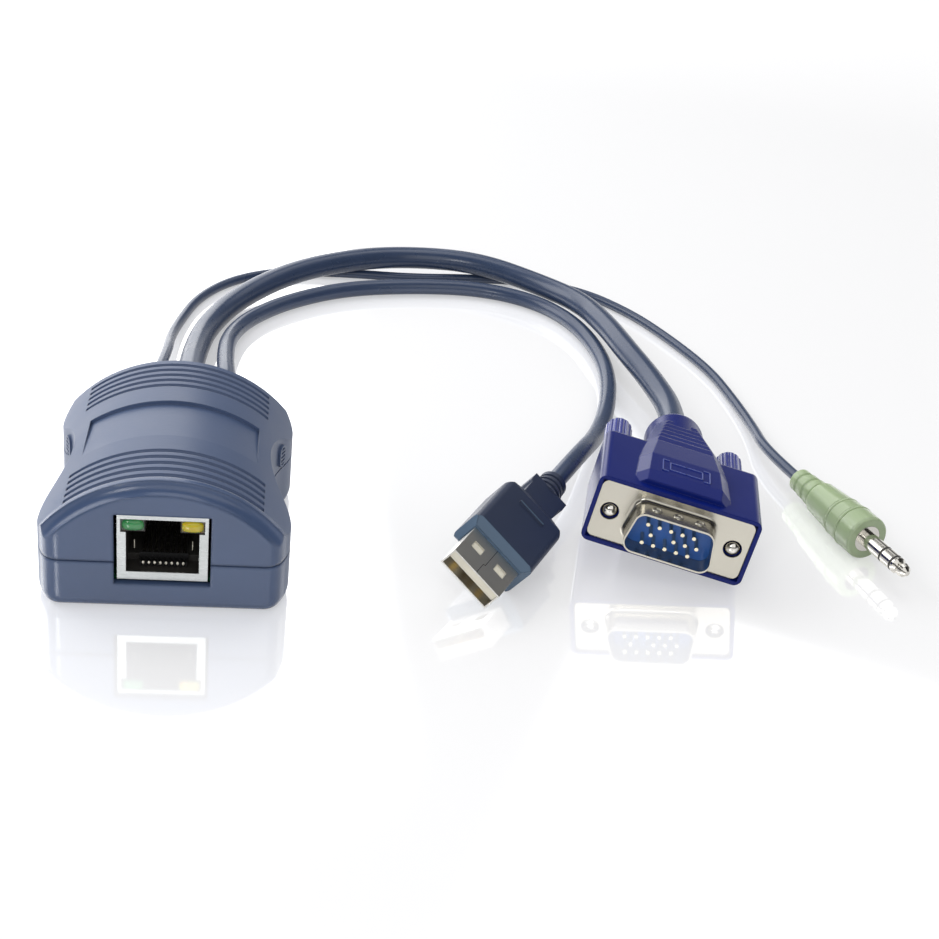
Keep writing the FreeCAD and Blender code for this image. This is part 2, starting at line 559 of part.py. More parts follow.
EXIT_Z = number("exit_height")
ROUTES = {
    "vga": [
        Vector(number("vga_exit_x"), HEADER_REAR, EXIT_Z), Vector(number("vga_exit_x"), 43, EXIT_Z),
        Vector(-0.2, 69, 5.6), Vector(1.8, 91, 3.0), Vector(9, 108.5, 3.4), Vector(22.5, 122.5, 5.4),
        Vector(40, 132.8, 5.9), Vector(57, 137.8, 5.3), Vector(73, 134.5, 5.9), Vector(88, 124.5, 5.0),
        Vector(97.5, 112.5, 5.7), Vector(101.5, 96, 6.9), Vector(104.2, 81, 7.0),
        Vector(107.6, 67.5, 6.4), before("vga", VGA_END), VGA_END,
    ],
    "usb": [
        Vector(number("usb_exit_x"), HEADER_REAR, EXIT_Z), Vector(number("usb_exit_x"), 43, EXIT_Z),
        Vector(7, 68, 7), Vector(7.6, 86, 3.2), Vector(12, 99, 2.1), Vector(21.5, 110.5, 2.1),
        Vector(36, 120.5, 2.1), Vector(54, 125, 2.1), Vector(72, 126, 2.1), Vector(86, 120, 2.1),
        Vector(94.5, 109, 2.1), Vector(98.8, 94, 2.1), Vector(99.6, 78, 2.1), Vector(96.5, 60, 2.1),
        Vector(91, 43, 3.4), before("usb", USB_END), USB_END,
    ],
    "audio": [
        Vector(number("audio_exit_x"), HEADER_REAR, EXIT_Z), Vector(number("audio_exit_x"), 43, EXIT_Z),
        Vector(-6, 69, 6.6), Vector(-6.4, 82, 3.4), Vector(-5.2, 95, 1.6), Vector(-1.5, 111.5, 1.25),
        Vector(7, 124.5, 1.25), Vector(20, 132, 1.25), Vector(37, 133.2, 1.25), Vector(54, 132.4, 1.25),
        Vector(70, 134.6, 1.25), Vector(86, 135.2, 1.25), Vector(101, 130, 1.25), Vector(112.5, 117, 1.25),
        Vector(120.5, 101, 1.25), Vector(126.8, 84.5, 1.25), Vector(129.2, 69, 1.25),
        Vector(130.3, 54, 1.8), before("audio", AUDIO_END), AUDIO_END,
    ],
}
BEND_SHARE = 0.45


def bends(route):
    """Each corner's turn in radians and its arc's radius."""
    for a, b, c in zip(route, route[1:], route[2:]):
        turn = (b - a).getAngle(c - b)
        yield turn, BEND_SHARE * min((b - a).Length, (c - b).Length) / math.tan(turn / 2)


def path(route):
    """Straight runs joined by tangent arcs."""
    edges = []
    here = route[0]
    for (a, b, c), (turn, radius) in zip(zip(route, route[1:], route[2:]), bends(route)):
        back, ahead = (a - b).normalize(), (c - b).normalize()
        trim = radius * math.tan(turn / 2)
        start, end = b + back * trim, b + ahead * trim
        toward = (back + ahead).normalize()
        middle = b + toward * (radius / math.cos(turn / 2) - radius)
        edges.append(Part.LineSegment(here, start).toShape())
        edges.append(Part.Arc(start, middle, end).toShape())
        here = end
    edges.append(Part.LineSegment(here, route[-1]).toShape())
    return Part.Wire(edges)


for cord, route in ROUTES.items():
    radius = number(f"{cord}_cable_radius")
    line = path(route)
    section = Part.Wire(Part.Circle(route[0], route[1] - route[0], radius).toShape())
    tube = line.makePipeShell([section], True, False)
    feature = doc.addObject("Part::Feature", f"{cord}_cable_solid")
    feature.Shape = tube
    node(f"{cord}_cable", feature)
    wanted = math.pi * radius ** 2 * line.Length
    print(f"{cord}_cable: length {line.Length:.1f} mm, volume {tube.Volume:.1f} of {wanted:.1f} mm3, "
          f"lowest {tube.BoundBox.ZMin:.2f}, radii "
          + " ".join(f"{bend:.0f}" for _, bend in bends(route)))

# --- video plug --------------------------------------------------------------------------------
VGA = laid("vga")
hood_block = box("hood_block", "-vga_hood_width / 2", "-vga_rim", "-vga_hood_height / 2",
                 "vga_hood_width", "vga_shoulder + vga_rim", "vga_hood_height")


def along_y_or_shoulder(edge):
    box_ = edge.BoundBox
    return box_.YLength > 5 or box_.YMin > number("vga_shoulder") - 0.01


hood_soft = rounded("hood_soft", hood_block, "vga_edge", along_y_or_shoulder)

SPINE_TOP = "(vga_spine_height / 2)"
SPINE_END = f"({SPINE_TOP} - vga_step_count * vga_step_drop)"
STEPS_RUN = "(vga_spine_length - vga_step_start)"


def spine_station(name, y, half, top):
    """The spine's cross-section at one place: a block with its four long edges bevelled."""
    inner, side = f"({half} - vga_bevel_width)", f"({top} - vga_bevel_height)"
    quarter = [(inner, top), (half, side), (half, f"-{side}"), (inner, f"-{top}")]
    section = outline(name, "XZ", quarter + [(f"-{x}", z) for x, z in reversed(quarter)])
    return put(section, 0, y, 0)


ramp_drop = "(vga_spine_height / 2 - vga_hood_height / 2)"
stations = [
    spine_station("spine_front", "vga_edge", "vga_spine_front", f"({SPINE_TOP} - {ramp_drop} / 2)"),
    spine_station("spine_ramp", "vga_edge + vga_spine_ramp", "vga_spine_front", SPINE_TOP),
    spine_station("spine_bend", "vga_spine_bend", "vga_spine_middle", SPINE_TOP),
    spine_station("spine_shoulder", "vga_shoulder", "vga_spine_shoulder",
                  f"({SPINE_TOP} - vga_step_drop)"),
    spine_station("spine_rear", "vga_spine_length", "vga_spine_rear", SPINE_END),
]
spine_loft = doc.addObject("Part::Loft", "spine_loft")
spine_loft.Sections = stations
spine_loft.Solid = True
spine_loft.Ruled = True
steps = int(number("vga_step_count"))
upper_line = [("0", SPINE_TOP)]
for i in range(steps):
    y = f"(vga_step_start + {i} * {STEPS_RUN} / vga_step_count)"
    upper_line += [(y, f"({SPINE_TOP} - {i} * vga_step_drop)"),
                   (f"({y} + vga_step_ledge)", f"({SPINE_TOP} - {i + 1} * vga_step_drop)")]
upper_line.append(("vga_spine_length + 1", SPINE_END))
side_line = upper_line + [(y, f"-{z}") for y, z in reversed(upper_line)]
spine_steps = extrude("spine_steps", outline("spine_side_line", "YZ", side_line), Vector(1, 0, 0),
                      "vga_hood_width", x="-vga_hood_width / 2")
spine = common("spine", spine_loft, spine_steps)
tail = turned("tail", [
    ("0", "vga_shoulder"), ("vga_tail_radius", "vga_shoulder"),
    ("vga_tail_radius", "vga_tail_end - vga_tail_round"),
    ("vga_tail_radius - vga_tail_round", "vga_tail_end"), ("0", "vga_tail_end"),
], {2: ("vga_tail_round", 1)})
plate_seat = box("plate_seat", "-vga_plate_width / 2 - seat_clearance", "-vga_rim - 1",
                 "-vga_plate_height / 2 - seat_clearance", "vga_plate_width + 2 * seat_clearance",
                 "vga_rim + 1 + vga_plate_thickness", "vga_plate_height + 2 * seat_clearance")
insert_seat = box("insert_seat", "-vga_shell_width / 2", "vga_plate_thickness - 0.1",
                  "-vga_shell_height / 2", "vga_shell_width", "vga_insert_rear + 0.1", "vga_shell_height")
SCREW_X = "(vga_screw_pitch / 2)"
screw_ways = [rod(f"screw_way_{i}", "Y", "thumbscrew_radius + thumbscrew_clearance", "vga_shoulder + 1",
                  x=f"{sign}{SCREW_X}") for i, sign in enumerate(("-", ""))]
node("vga_hood", cut("vga_hood_solid", fused("hood_and_spine", [hood_soft, spine, tail]),
                     plate_seat, insert_seat, *screw_ways), VGA)


def dee(name, inset, y, length):
    """The plug's D outline, wide side down, drawn in by an inset and carried along Y."""
    corner = f"(vga_shell_corner - {inset})"
    slant = math.tan(math.radians(number("vga_shell_slant")))
    half_h = f"(vga_shell_height / 2 - {inset})"
    low = f"(vga_shell_width / 2 - {inset})"
    high = f"({low} - 2 * {half_h} * {slant:.6f})"
    area = outline(f"{name}_area", "XZ", [
        (f"-{low}", f"-{half_h}"), (low, f"-{half_h}"), (high, half_h), (f"-{high}", half_h)])
    solid = extrude(f"{name}_sharp", area, Vector(0, 1, 0), length, y=y)
    return rounded(name, solid, corner, lambda edge: edge.BoundBox.YLength > number(length) - 0.01)


plate_block = box("plate_block", "-vga_plate_width / 2", 0, "-vga_plate_height / 2",
                  "vga_plate_width", "vga_plate_thickness", "vga_plate_height")
plate = rounded("plate", plate_block, "vga_plate_corner",
                lambda edge: edge.BoundBox.YLength > 0.1 and edge.BoundBox.XLength < 0.01)
plate_holes = [rod(f"plate_hole_{i}", "Y", "vga_screw_hole", "vga_plate_thickness + 2", y="-1",
                   x=f"{sign}{SCREW_X}") for i, sign in enumerate(("-", ""))]
shell_outside = dee("dee_outside", "0", "-vga_shell_depth", "vga_shell_depth + vga_plate_thickness / 2")
shell_inside = dee("dee_inside", "vga_shell_wall", "-vga_shell_depth - 1",
                   "vga_shell_depth + vga_plate_thickness + 2")


def at_shell_foot(edge):
    box_ = edge.BoundBox
    level = box_.YLength < 0.01 and abs(box_.YMax) < 0.01
    edge_x = number("vga_plate_width / 2 - vga_plate_corner")
    edge_z = number("vga_plate_height / 2 - vga_plate_corner")
    across = -edge_x < box_.XMin and box_.XMax < edge_x
    return level and across and -edge_z < box_.ZMin and box_.ZMax < edge_z


flared = rounded("plate_with_shell", fused("plate_and_shell", [plate, shell_outside]), "vga_shell_flare",
                 at_shell_foot)
node("vga_faceplate", cut("vga_faceplate_solid", flared, shell_inside, *plate_holes), VGA)
insert = dee("vga_insert_solid", "vga_shell_wall", "-vga_insert_front",
             "vga_insert_front + vga_plate_thickness + vga_insert_rear")
node("vga_insert", group("vga_insert_set", [insert]), VGA)

pins = []
for row in (1, 0, -1):
    shift = "-" if row else "+"
    for place in range(5):
        if row == 0 and place == 1:
            continue
        pins.append(rod(f"pin_{row + 1}_{place}", "Y", "vga_pin_radius",
                        "vga_pin_reach - vga_insert_front",
                        x=f"({place - 2}) * vga_pin_pitch {shift} vga_pin_pitch / 4", y="-vga_pin_reach",
                        z=f"({row}) * vga_row_pitch"))
node("vga_pins", group("vga_pin_set", pins), VGA)

KNOB_Y = "(vga_shoulder + knob_gap)"
for side, sign in (("left", "-"), ("right", "")):
    x = f"{sign}{SCREW_X}"
    knob_rod = rod(f"{side}_knob_rod", "Y", "knob_radius", "knob_length", y=KNOB_Y)
    knob_soft = rounded(f"{side}_knob_soft", knob_rod, "knob_round",
                        lambda edge: edge.BoundBox.YMin > number(f"{KNOB_Y} + knob_length") - 0.01)
    count = int(number("knob_flutes"))
    flutes = []
    for i in range(count):
        flute = rod(f"{side}_flute_{i}", "Y", "flute_radius", "knob_length", y=f"{KNOB_Y} + flute_start")
        angle = 2 * math.pi * i / count
        bind(flute, "Placement.Base.x", f"(knob_radius + flute_radius / 3) * {math.cos(angle):.6f}")
        bind(flute, "Placement.Base.z", f"(knob_radius + flute_radius / 3) * {math.sin(angle):.6f}")
        flutes.append(flute)
    bore = rod(f"{side}_knob_bore", "Y", "thumbscrew_radius", "thumbscrew_grip + 1", y=f"{KNOB_Y} - 1")
    knob = cut(f"{side}_knob_fluted", knob_soft, *flutes, bore)
    at = Placement(Vector(number(x), 0, 0), Rotation())
    node(f"{side}_thumb_knob", knob, VGA * at)
    shaft = turned(f"{side}_thumbscrew_solid", [
        (0, "-thumbscrew_reach"), ("thumbscrew_radius", "thumbscrew_dome - thumbscrew_reach"),
        ("thumbscrew_radius", f"{KNOB_Y} + thumbscrew_grip"), (0, f"{KNOB_Y} + thumbscrew_grip"),
    ], {0: ("(thumbscrew_radius ^ 2 + thumbscrew_dome ^ 2) / (2 * thumbscrew_dome)", 1)})
    node(f"{side}_thumb_screw", group(f"{side}_thumbscrew_set", [shaft]), VGA * at)

# --- USB plug ----------------------------------------------------------------------------------
USB = laid("usb")
SEAT = "(usb_shell_reach + usb_shell_seat)"
IN_USB_W = "(usb_shell_width - 2 * usb_shell_wall)"
IN_USB_H = "(usb_shell_height - 2 * usb_shell_wall)"
usb_tube = box("usb_tube", "-usb_shell_width / 2", 0, "-usb_shell_height / 2",
               "usb_shell_width", SEAT, "usb_shell_height")
usb_bore = box("usb_bore", f"-{IN_USB_W} / 2", "-1", f"-{IN_USB_H} / 2",
               IN_USB_W, f"{SEAT} + 2", IN_USB_H)
windows = [box(f"usb_window_{i}", f"{sign}usb_window_x - usb_window_width / 2",
               "usb_window_y - usb_window_length / 2", "-usb_shell_height",
               "usb_window_width", "usb_window_length", "2 * usb_shell_height")
           for i, sign in enumerate(("-", ""))]
node("usb_shell", cut("usb_shell_solid", usb_tube, usb_bore, *windows), USB)

# the tongue lies under the shell's windowed side and its contacts face the open half below it
TONGUE_LOW = f"({IN_USB_H} / 2 - usb_tongue_height)"
tongue = box("tongue_block", f"-{IN_USB_W} / 2", "usb_tongue_setback", TONGUE_LOW,
             IN_USB_W, f"{SEAT} - usb_tongue_setback", "usb_tongue_height")
tongue_back = box("tongue_back", f"-{IN_USB_W} / 2", "usb_shell_reach + 1", f"-{IN_USB_H} / 2",
                  IN_USB_W, "usb_shell_seat - 1", IN_USB_H)
node("usb_tongue", fused("usb_tongue_solid", [tongue, tongue_back]), USB)
strips = [box(f"usb_contact_{i}", f"{x} - usb_contact_width / 2",
              "usb_tongue_setback + usb_contact_start", f"{TONGUE_LOW} - usb_contact_gauge",
              "usb_contact_width", "usb_shell_reach - usb_tongue_setback - usb_contact_start",
              "usb_contact_gauge")
          for i, x in enumerate(("-usb_contact_outer", "-usb_contact_inner", "usb_contact_inner",
                                 "usb_contact_outer"))]
node("usb_contacts", group("usb_contact_set", strips), USB)

MOLD_REAR = "(usb_shell_reach + usb_mold_length)"
NECK_REAR = f"({MOLD_REAR} + usb_neck_length)"
half, neck_half, flange = "(usb_mold_width / 2)", "(usb_neck_width / 2)", "(usb_flange_width / 2)"
FLANGE_FRONT = f"({NECK_REAR} - usb_flange_length)"
mold_right = [
    (f"{half} - usb_lip", "usb_shell_reach"),
    (f"{half} + usb_bevel", "usb_shell_reach + usb_lip + usb_bevel"),
    (f"{half} + usb_bevel", f"{MOLD_REAR} - usb_mold_corner - usb_bevel"),
    (f"{half} - usb_mold_corner", MOLD_REAR),
    (neck_half, f"{MOLD_REAR} + usb_taper"),
    (neck_half, f"{FLANGE_FRONT} - usb_bevel"),
    (flange, FLANGE_FRONT),
    (flange, f"{NECK_REAR} - usb_bevel"),
    (f"{flange} - 2 * usb_bevel", NECK_REAR),
]
mold_plan = outline("mold_plan", "XY", mold_right + [(f"-({x})", y) for x, y in reversed(mold_right)])
mold_block = extrude("mold_block", mold_plan, Vector(0, 0, 1), "2 * usb_mold_height",
                     z="-usb_mold_height")
top, neck_top = "(usb_mold_height / 2)", "(usb_neck_height / 2)"
mold_upper = [
    ("usb_shell_reach", f"{top} - usb_lip"),
    ("usb_shell_reach + usb_lip + usb_bevel", f"{top} + usb_bevel"),
    (f"{MOLD_REAR} - usb_taper - usb_bevel", f"{top} + usb_bevel"),
    (f"{MOLD_REAR} + usb_taper", neck_top),
    (f"{NECK_REAR} - usb_bevel", neck_top),
    (NECK_REAR, f"{neck_top} - usb_bevel"),
]
mold_side = extrude("mold_side", outline("mold_side_line", "YZ", mold_upper + [
    (y, f"-({z})") for y, z in reversed(mold_upper)]), Vector(1, 0, 0), "2 * usb_mold_width",
    x="-usb_mold_width")
mold_ends = [(f"{half} - usb_edge", top), (half, f"{top} - usb_edge")]
mold_round = [(f"-({x})", z) for x, z in mold_ends]
mold_round += [(f"-({x})", f"-({z})") for x, z in reversed(mold_ends)]
mold_round += [(x, f"-({z})") for x, z in mold_ends]
mold_round += list(reversed(mold_ends))
mold_section = extrude("mold_section", outline("mold_section_line", "XZ", mold_round, {
    i: ("usb_edge", 1) for i in range(0, len(mold_round), 2)}), Vector(0, -1, 0),
    "2 * usb_mold_length", y="2 * usb_mold_length + usb_shell_reach - 1")
mold_pair = common("mold_pair", mold_block, mold_side)
mold = common("mold", mold_pair, mold_section)
ribs = int(number("usb_rib_count"))
relief_corners = [("0", f"{NECK_REAR} - 1"), ("usb_relief_front", f"{NECK_REAR} - 1")]
for i in range(ribs):
    pitch = f"(usb_relief_length / {ribs})"
    taper = f"(usb_relief_front - (usb_relief_front - usb_relief_rear) * {i + 1} / {ribs})"
    relief_corners += [(taper, f"{NECK_REAR} + {i} * {pitch}"),
                       (f"({taper} - usb_rib_depth)", f"{NECK_REAR} + {i} * {pitch}"),
                       (f"({taper} - usb_rib_depth)", f"{NECK_REAR} + ({i} + 0.35) * {pitch}"),
                       (taper, f"{NECK_REAR} + ({i} + 0.35) * {pitch}")]
relief_corners += [("usb_relief_rear", f"{NECK_REAR} + usb_relief_length"),
                   ("0", f"{NECK_REAR} + usb_relief_length")]
relief = turned("usb_relief", relief_corners)
ridge = box("usb_ridge", "-usb_ridge_width / 2", "usb_ridge_y - usb_ridge_height",
            "usb_mold_height / 2 - 1", "usb_ridge_width", "2 * usb_ridge_height", "1 + usb_ridge_height")
usb_socket = box("usb_socket", "-usb_shell_width / 2", "0", "-usb_shell_height / 2",
                 "usb_shell_width", SEAT, "usb_shell_height")
node("usb_overmold", cut("usb_overmold_solid", fused("mold_with_relief", [mold, relief, ridge]),
                         usb_socket), USB)

# --- audio plug --------------------------------------------------------------------------------
AUDIO = laid("audio")
RELIEF_END = "(audio_body_length + audio_relief_length)"
body_line = [
    ("audio_collar_radius", "0"), ("audio_body_radius - 0.6", "0"), ("audio_body_radius", "0.6"),
    ("audio_body_radius", "4.6"), ("audio_body_radius - audio_groove_depth", "4.9"),
    ("audio_body_radius - audio_groove_depth", "5.4"), ("audio_body_radius - 0.1", "5.7"),
    ("audio_body_radius - 0.25", "8.6"), ("audio_body_radius - 0.3 - audio_groove_depth", "8.9"),
    ("audio_body_radius - 0.3 - audio_groove_depth", "9.4"), ("audio_body_radius - 0.4", "9.7"),
    ("audio_body_radius - 0.7", "13"), ("audio_waist_radius", "audio_body_length"),
]
audio_ribs = 3
for i in range(audio_ribs):
    pitch = f"(audio_relief_length / {audio_ribs})"
    taper = f"(audio_relief_radius - (audio_relief_radius - audio_relief_end) * {i} / {audio_ribs})"
    start = f"(audio_body_length + {i} * {pitch})"
    body_line += [(f"({taper} - 0.3)", f"({start} + 0.3)"), (f"({taper} - 0.3)", f"({start} + 0.8)"),
                  (taper, f"({start} + 1.1)"), (taper, f"({start} + {pitch} - 0.2)")]
body_line += [("audio_relief_end", RELIEF_END), ("0", RELIEF_END), ("0", "audio_stem_length"),
              ("audio_stem_radius", "audio_stem_length"), ("audio_stem_radius", "audio_collar_depth"),
              ("audio_collar_radius", "audio_collar_depth")]
node("audio_overmold", group("audio_overmold_set", [turned("audio_overmold_solid", body_line)]), AUDIO)

BAND_END = "(audio_tip_length + audio_band_length + 2 * audio_insulator_length)"
SLEEVE_FRONT = f"(-(audio_pin_length - {BAND_END}))"
BAND_REAR = f"({SLEEVE_FRONT} - audio_insulator_length)"
BAND_FRONT = f"({BAND_REAR} - audio_band_length)"
TIP_REAR = f"({BAND_FRONT} - audio_insulator_length)"
node("audio_sleeve", group("audio_sleeve_set", [turned("audio_sleeve_solid", [
    (0, SLEEVE_FRONT), ("audio_pin_radius", SLEEVE_FRONT), ("audio_pin_radius", "0"),
    ("audio_collar_radius", "0"), ("audio_collar_radius", "audio_collar_depth"),
    ("audio_stem_radius", "audio_collar_depth"), ("audio_stem_radius", "audio_stem_length"),
    (0, "audio_stem_length")])]), AUDIO)
node("audio_ring", group("audio_ring_set", [rod("audio_ring_solid", "Y", "audio_pin_radius",
                                                "audio_band_length", y=BAND_FRONT)]), AUDIO)
node("audio_insulators", group("audio_insulator_set", [
    rod(f"audio_insulator_{i}", "Y", "audio_pin_radius", "audio_insulator_length", y=y)
    for i, y in enumerate((BAND_REAR, TIP_REAR))]), AUDIO)
node("audio_tip", group("audio_tip_set", [turned("audio_tip_solid", [
    (0, "-audio_pin_length"), ("audio_tip_ball / 3", "-audio_pin_length"),
    ("0.85 * audio_tip_ball", "0.8 - audio_pin_length"), ("audio_tip_ball", "1.6 - audio_pin_length"),
    ("audio_tip_groove", "2.6 - audio_pin_length"),
    ("audio_pin_radius", f"{TIP_REAR} - 0.5"), ("audio_pin_radius", TIP_REAR), (0, TIP_REAR)])]), AUDIO)

# --- checks and files --------------------------------------------------------------------------
doc.recompute()
for feature in doc.Objects:
    bad = {"Invalid", "Error"} & set(feature.State)
    assert not bad, f"{feature.Name} ({feature.Label}) is {bad}"
os.makedirs("parts", exist_ok=True)
assert len(NODES) <= 60
for label, feature in NODES.items():
    shape = feature.Shape
    assert not shape.isNull() and shape.isValid() and shape.Solids, f"{label} has no valid solid"
for label, feature in NODES.items():
    feature.Shape.exportStep(f"parts/{label}.step")
    shape = feature.Shape
    print(f"{label}: {len(shape.Solids)} solids, {shape.Volume:.1f} mm3, "
          f"x {shape.BoundBox.XMin:.2f}..{shape.BoundBox.XMax:.2f} "
          f"y {shape.BoundBox.YMin:.2f}..{shape.BoundBox.YMax:.2f} "
          f"z {shape.BoundBox.ZMin:.2f}..{shape.BoundBox.ZMax:.2f}")
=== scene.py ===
"""A keyboard, video and mouse adapter: a waisted two-part case with three captive cables.

Every length is in millimetres until the last moment, when it is turned to metres.
"""

from __future__ import annotations

import logging
import math
from dataclasses import dataclass
from enum import Enum
from typing import Any, Mapping, Sequence

import bmesh
import bpy
from mathutils import Matrix, Vector

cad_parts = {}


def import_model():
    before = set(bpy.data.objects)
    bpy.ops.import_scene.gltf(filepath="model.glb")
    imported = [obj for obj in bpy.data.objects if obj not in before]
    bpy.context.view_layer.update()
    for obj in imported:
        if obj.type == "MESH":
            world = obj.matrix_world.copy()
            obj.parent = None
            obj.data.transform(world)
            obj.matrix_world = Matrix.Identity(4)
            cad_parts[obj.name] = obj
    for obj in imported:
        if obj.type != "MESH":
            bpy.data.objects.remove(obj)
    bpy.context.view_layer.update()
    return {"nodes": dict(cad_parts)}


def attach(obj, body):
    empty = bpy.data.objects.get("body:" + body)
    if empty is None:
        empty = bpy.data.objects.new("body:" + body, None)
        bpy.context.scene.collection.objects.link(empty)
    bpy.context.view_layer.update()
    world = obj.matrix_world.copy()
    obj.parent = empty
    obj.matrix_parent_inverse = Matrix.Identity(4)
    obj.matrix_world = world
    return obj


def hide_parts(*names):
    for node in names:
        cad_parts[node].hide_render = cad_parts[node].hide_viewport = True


LOG = logging.getLogger("adapter")
MM = 0.001
MODULE = "module"
Triple = tuple[float, float, float]
Point = Triple
Span = tuple[float, float]


# --- small helpers ---------------------------------------------------------------------------
def linear(hex_colour: str) -> tuple[float, float, float, float]:
    """Turns an sRGB hex colour to linear light.

    Args:
        hex_colour: six hex digits with a leading hash.

    Returns:
        Red, green, blue and a full alpha, as Blender's sockets take them.
    """
    digits = hex_colour.lstrip("#")
    channels = [int(digits[i:i + 2], 16) / 255 for i in (0, 2, 4)]
    light = [c / 12.92 if c <= 0.04045 else ((c + 0.055) / 1.055) ** 2.4 for c in channels]
    return (light[0], light[1], light[2], 1.0)


def per_metre(size_mm: float) -> float:
    """Noise scale that gives a pattern features of this size in millimetres."""
    return 1.0 / (size_mm * MM)


def metres(point: Sequence[float]) -> Vector:
    """A point in millimetres as a vector in metres."""
    return Vector(point) * MM


def add_node(tree: bpy.types.NodeTree, kind: str, settings: Mapping[Any, Any] | None = None,
             links: Mapping[Any, bpy.types.NodeSocket] | None = None) -> bpy.types.Node:
    """Adds one node with its settings and its incoming links.

    Args:
        tree: the material's node tree.
        kind: the node's type name.
        settings: values by socket name, socket number or attribute name.
        links: output sockets by the input socket that they feed.

    Returns:
        The new node.
    """
    node = tree.nodes.new(kind)
    for name, value in (settings or {}).items():
        if isinstance(name, int) or name in node.inputs:
            node.inputs[name].default_value = value
        else:
            setattr(node, name, value)
    for name, source in (links or {}).items():
        tree.links.new(source, node.inputs[name])
    return node


class Workpiece:
    """Small solids gathered in one mesh, each given in the millimetres of a plug or of the case."""

    BALL_FACETS = 20
    TUBE_FACETS = 12
    PILLOW_FACETS = 40
    PILLOW_LEVELS = 8

    def __init__(self, place: Matrix | None = None) -> None:
        """Starts empty.

        Args:
            place: the plug's frame in metres, or nothing for the case's own.
        """
        self.mesh = bmesh.new()
        self.frame = (place or Matrix.Identity(4)) @ Matrix.Scale(MM, 4)

    def block(self, low: Sequence[float], high: Sequence[float]) -> Workpiece:
        """Adds a block between two corners."""
        low, high = Vector(low), Vector(high)
        size = Matrix.Diagonal((*(high - low), 1.0))
        bmesh.ops.create_cube(self.mesh, size=1.0,
                              matrix=self.frame @ Matrix.Translation((low + high) / 2) @ size)
        return self

    def bead(self, middle: Sequence[float], radii: Sequence[float]) -> Workpiece:
        """Adds a ball, or an egg where the three radii differ."""
        bmesh.ops.create_uvsphere(
            self.mesh, u_segments=self.BALL_FACETS, v_segments=self.BALL_FACETS // 2, radius=1.0,
            matrix=self.frame @ Matrix.Translation(Vector(middle)) @ Matrix.Diagonal((*radii, 1.0)))
        return self

    def hoop(self, middle: Sequence[float], axis: str, radius: float, tube: float,
             steps: int = 96) -> Workpiece:
        """Adds a round hoop.

        Args:
            middle: its centre.
            axis: "Y" or "Z", the way that its axle runs.
            radius: from the axle to the middle of the bead.
            tube: the bead's own radius.
            steps: how many facets go round.

        Returns:
            The workpiece, so that calls can be chained.
        """
        turn = Matrix.Rotation(math.radians(-90 if axis == "Y" else 0), 4, "X")
        place = self.frame @ Matrix.Translation(Vector(middle)) @ turn
        around = self.TUBE_FACETS
        rings = [[self.mesh.verts.new(place @ Vector((
            (radius + tube * math.cos(b)) * math.cos(a),
            (radius + tube * math.cos(b)) * math.sin(a), tube * math.sin(b))))
            for b in (2 * math.pi * j / around for j in range(around))]
            for a in (2 * math.pi * i / steps for i in range(steps))]
        for i, ring in enumerate(rings):
            following = rings[(i + 1) % steps]
            for j in range(around):
                k = (j + 1) % around
                self.mesh.faces.new((ring[j], following[j], following[k], ring[k]))
        return self

    def pillow(self, low: Sequence[float], high: Sequence[float], bulge: float,
               square: float) -> Workpiece:
        """Adds a domed plate that faces -Y, its outline between an ellipse and a rectangle.

        Args:
            low: its low corner, with the Y of its rim.
            high: its high corner.
            bulge: how far its middle stands out of its rim.
            square: 2 gives an ellipse, and more a squarer outline.

        Returns:
            The workpiece, so that calls can be chained.
        """
        half_x, half_z = (high[0] - low[0]) / 2, (high[2] - low[2]) / 2
        mid_x, mid_z = (high[0] + low[0]) / 2, (high[2] + low[2]) / 2
        steps, levels = self.PILLOW_FACETS, self.PILLOW_LEVELS
        loops = []
        for level in range(levels):
            share = math.cos(math.pi / 2 * level / levels)
            out = low[1] - bulge * math.sin(math.pi / 2 * level / levels)
            loop = []
            for i in range(steps):
                a = 2 * math.pi * i / steps
                c, d = math.cos(a), math.sin(a)
                loop.append(self.mesh.verts.new(self.frame @ Vector((
                    mid_x + half_x * share * math.copysign(abs(c) ** (2 / square), c), out,
                    mid_z + half_z * share * math.copysign(abs(d) ** (2 / square), d)))))
            loops.append(loop)
        for lower, upper in zip(loops, loops[1:]):
            for i in range(steps):
                k = (i + 1) % steps
                self.mesh.faces.new((lower[i], lower[k], upper[k], upper[i]))
        self.mesh.faces.new(loops[-1])
        return self

    def finish(self, name: str, material: bpy.types.Material, slot: str,
               smooth_deg: float = 40.0) -> bpy.types.Object:
        """Turns what was gathered into a visible piece that rides on the module.

        Args:
            name: the piece's name.
            material: its finish.
            slot: the record's material slot; not used.
            smooth_deg: edges that turn more than this stay sharp.

        Returns:
            The new object.
        """
        bmesh.ops.recalc_face_normals(self.mesh, faces=self.mesh.faces[:])
        data = bpy.data.meshes.new(name)
        self.mesh.to_mesh(data)
        self.mesh.free()
        data.polygons.foreach_set("use_smooth", [True] * len(data.polygons))
        data.set_sharp_from_angle(angle=math.radians(smooth_deg))
        data.materials.append(material)
        obj = bpy.data.objects.new(name, data)
        bpy.context.scene.collection.objects.link(obj)
        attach(obj, MODULE)
        LOG.info("%s: %d faces", name, len(data.polygons))
        return obj


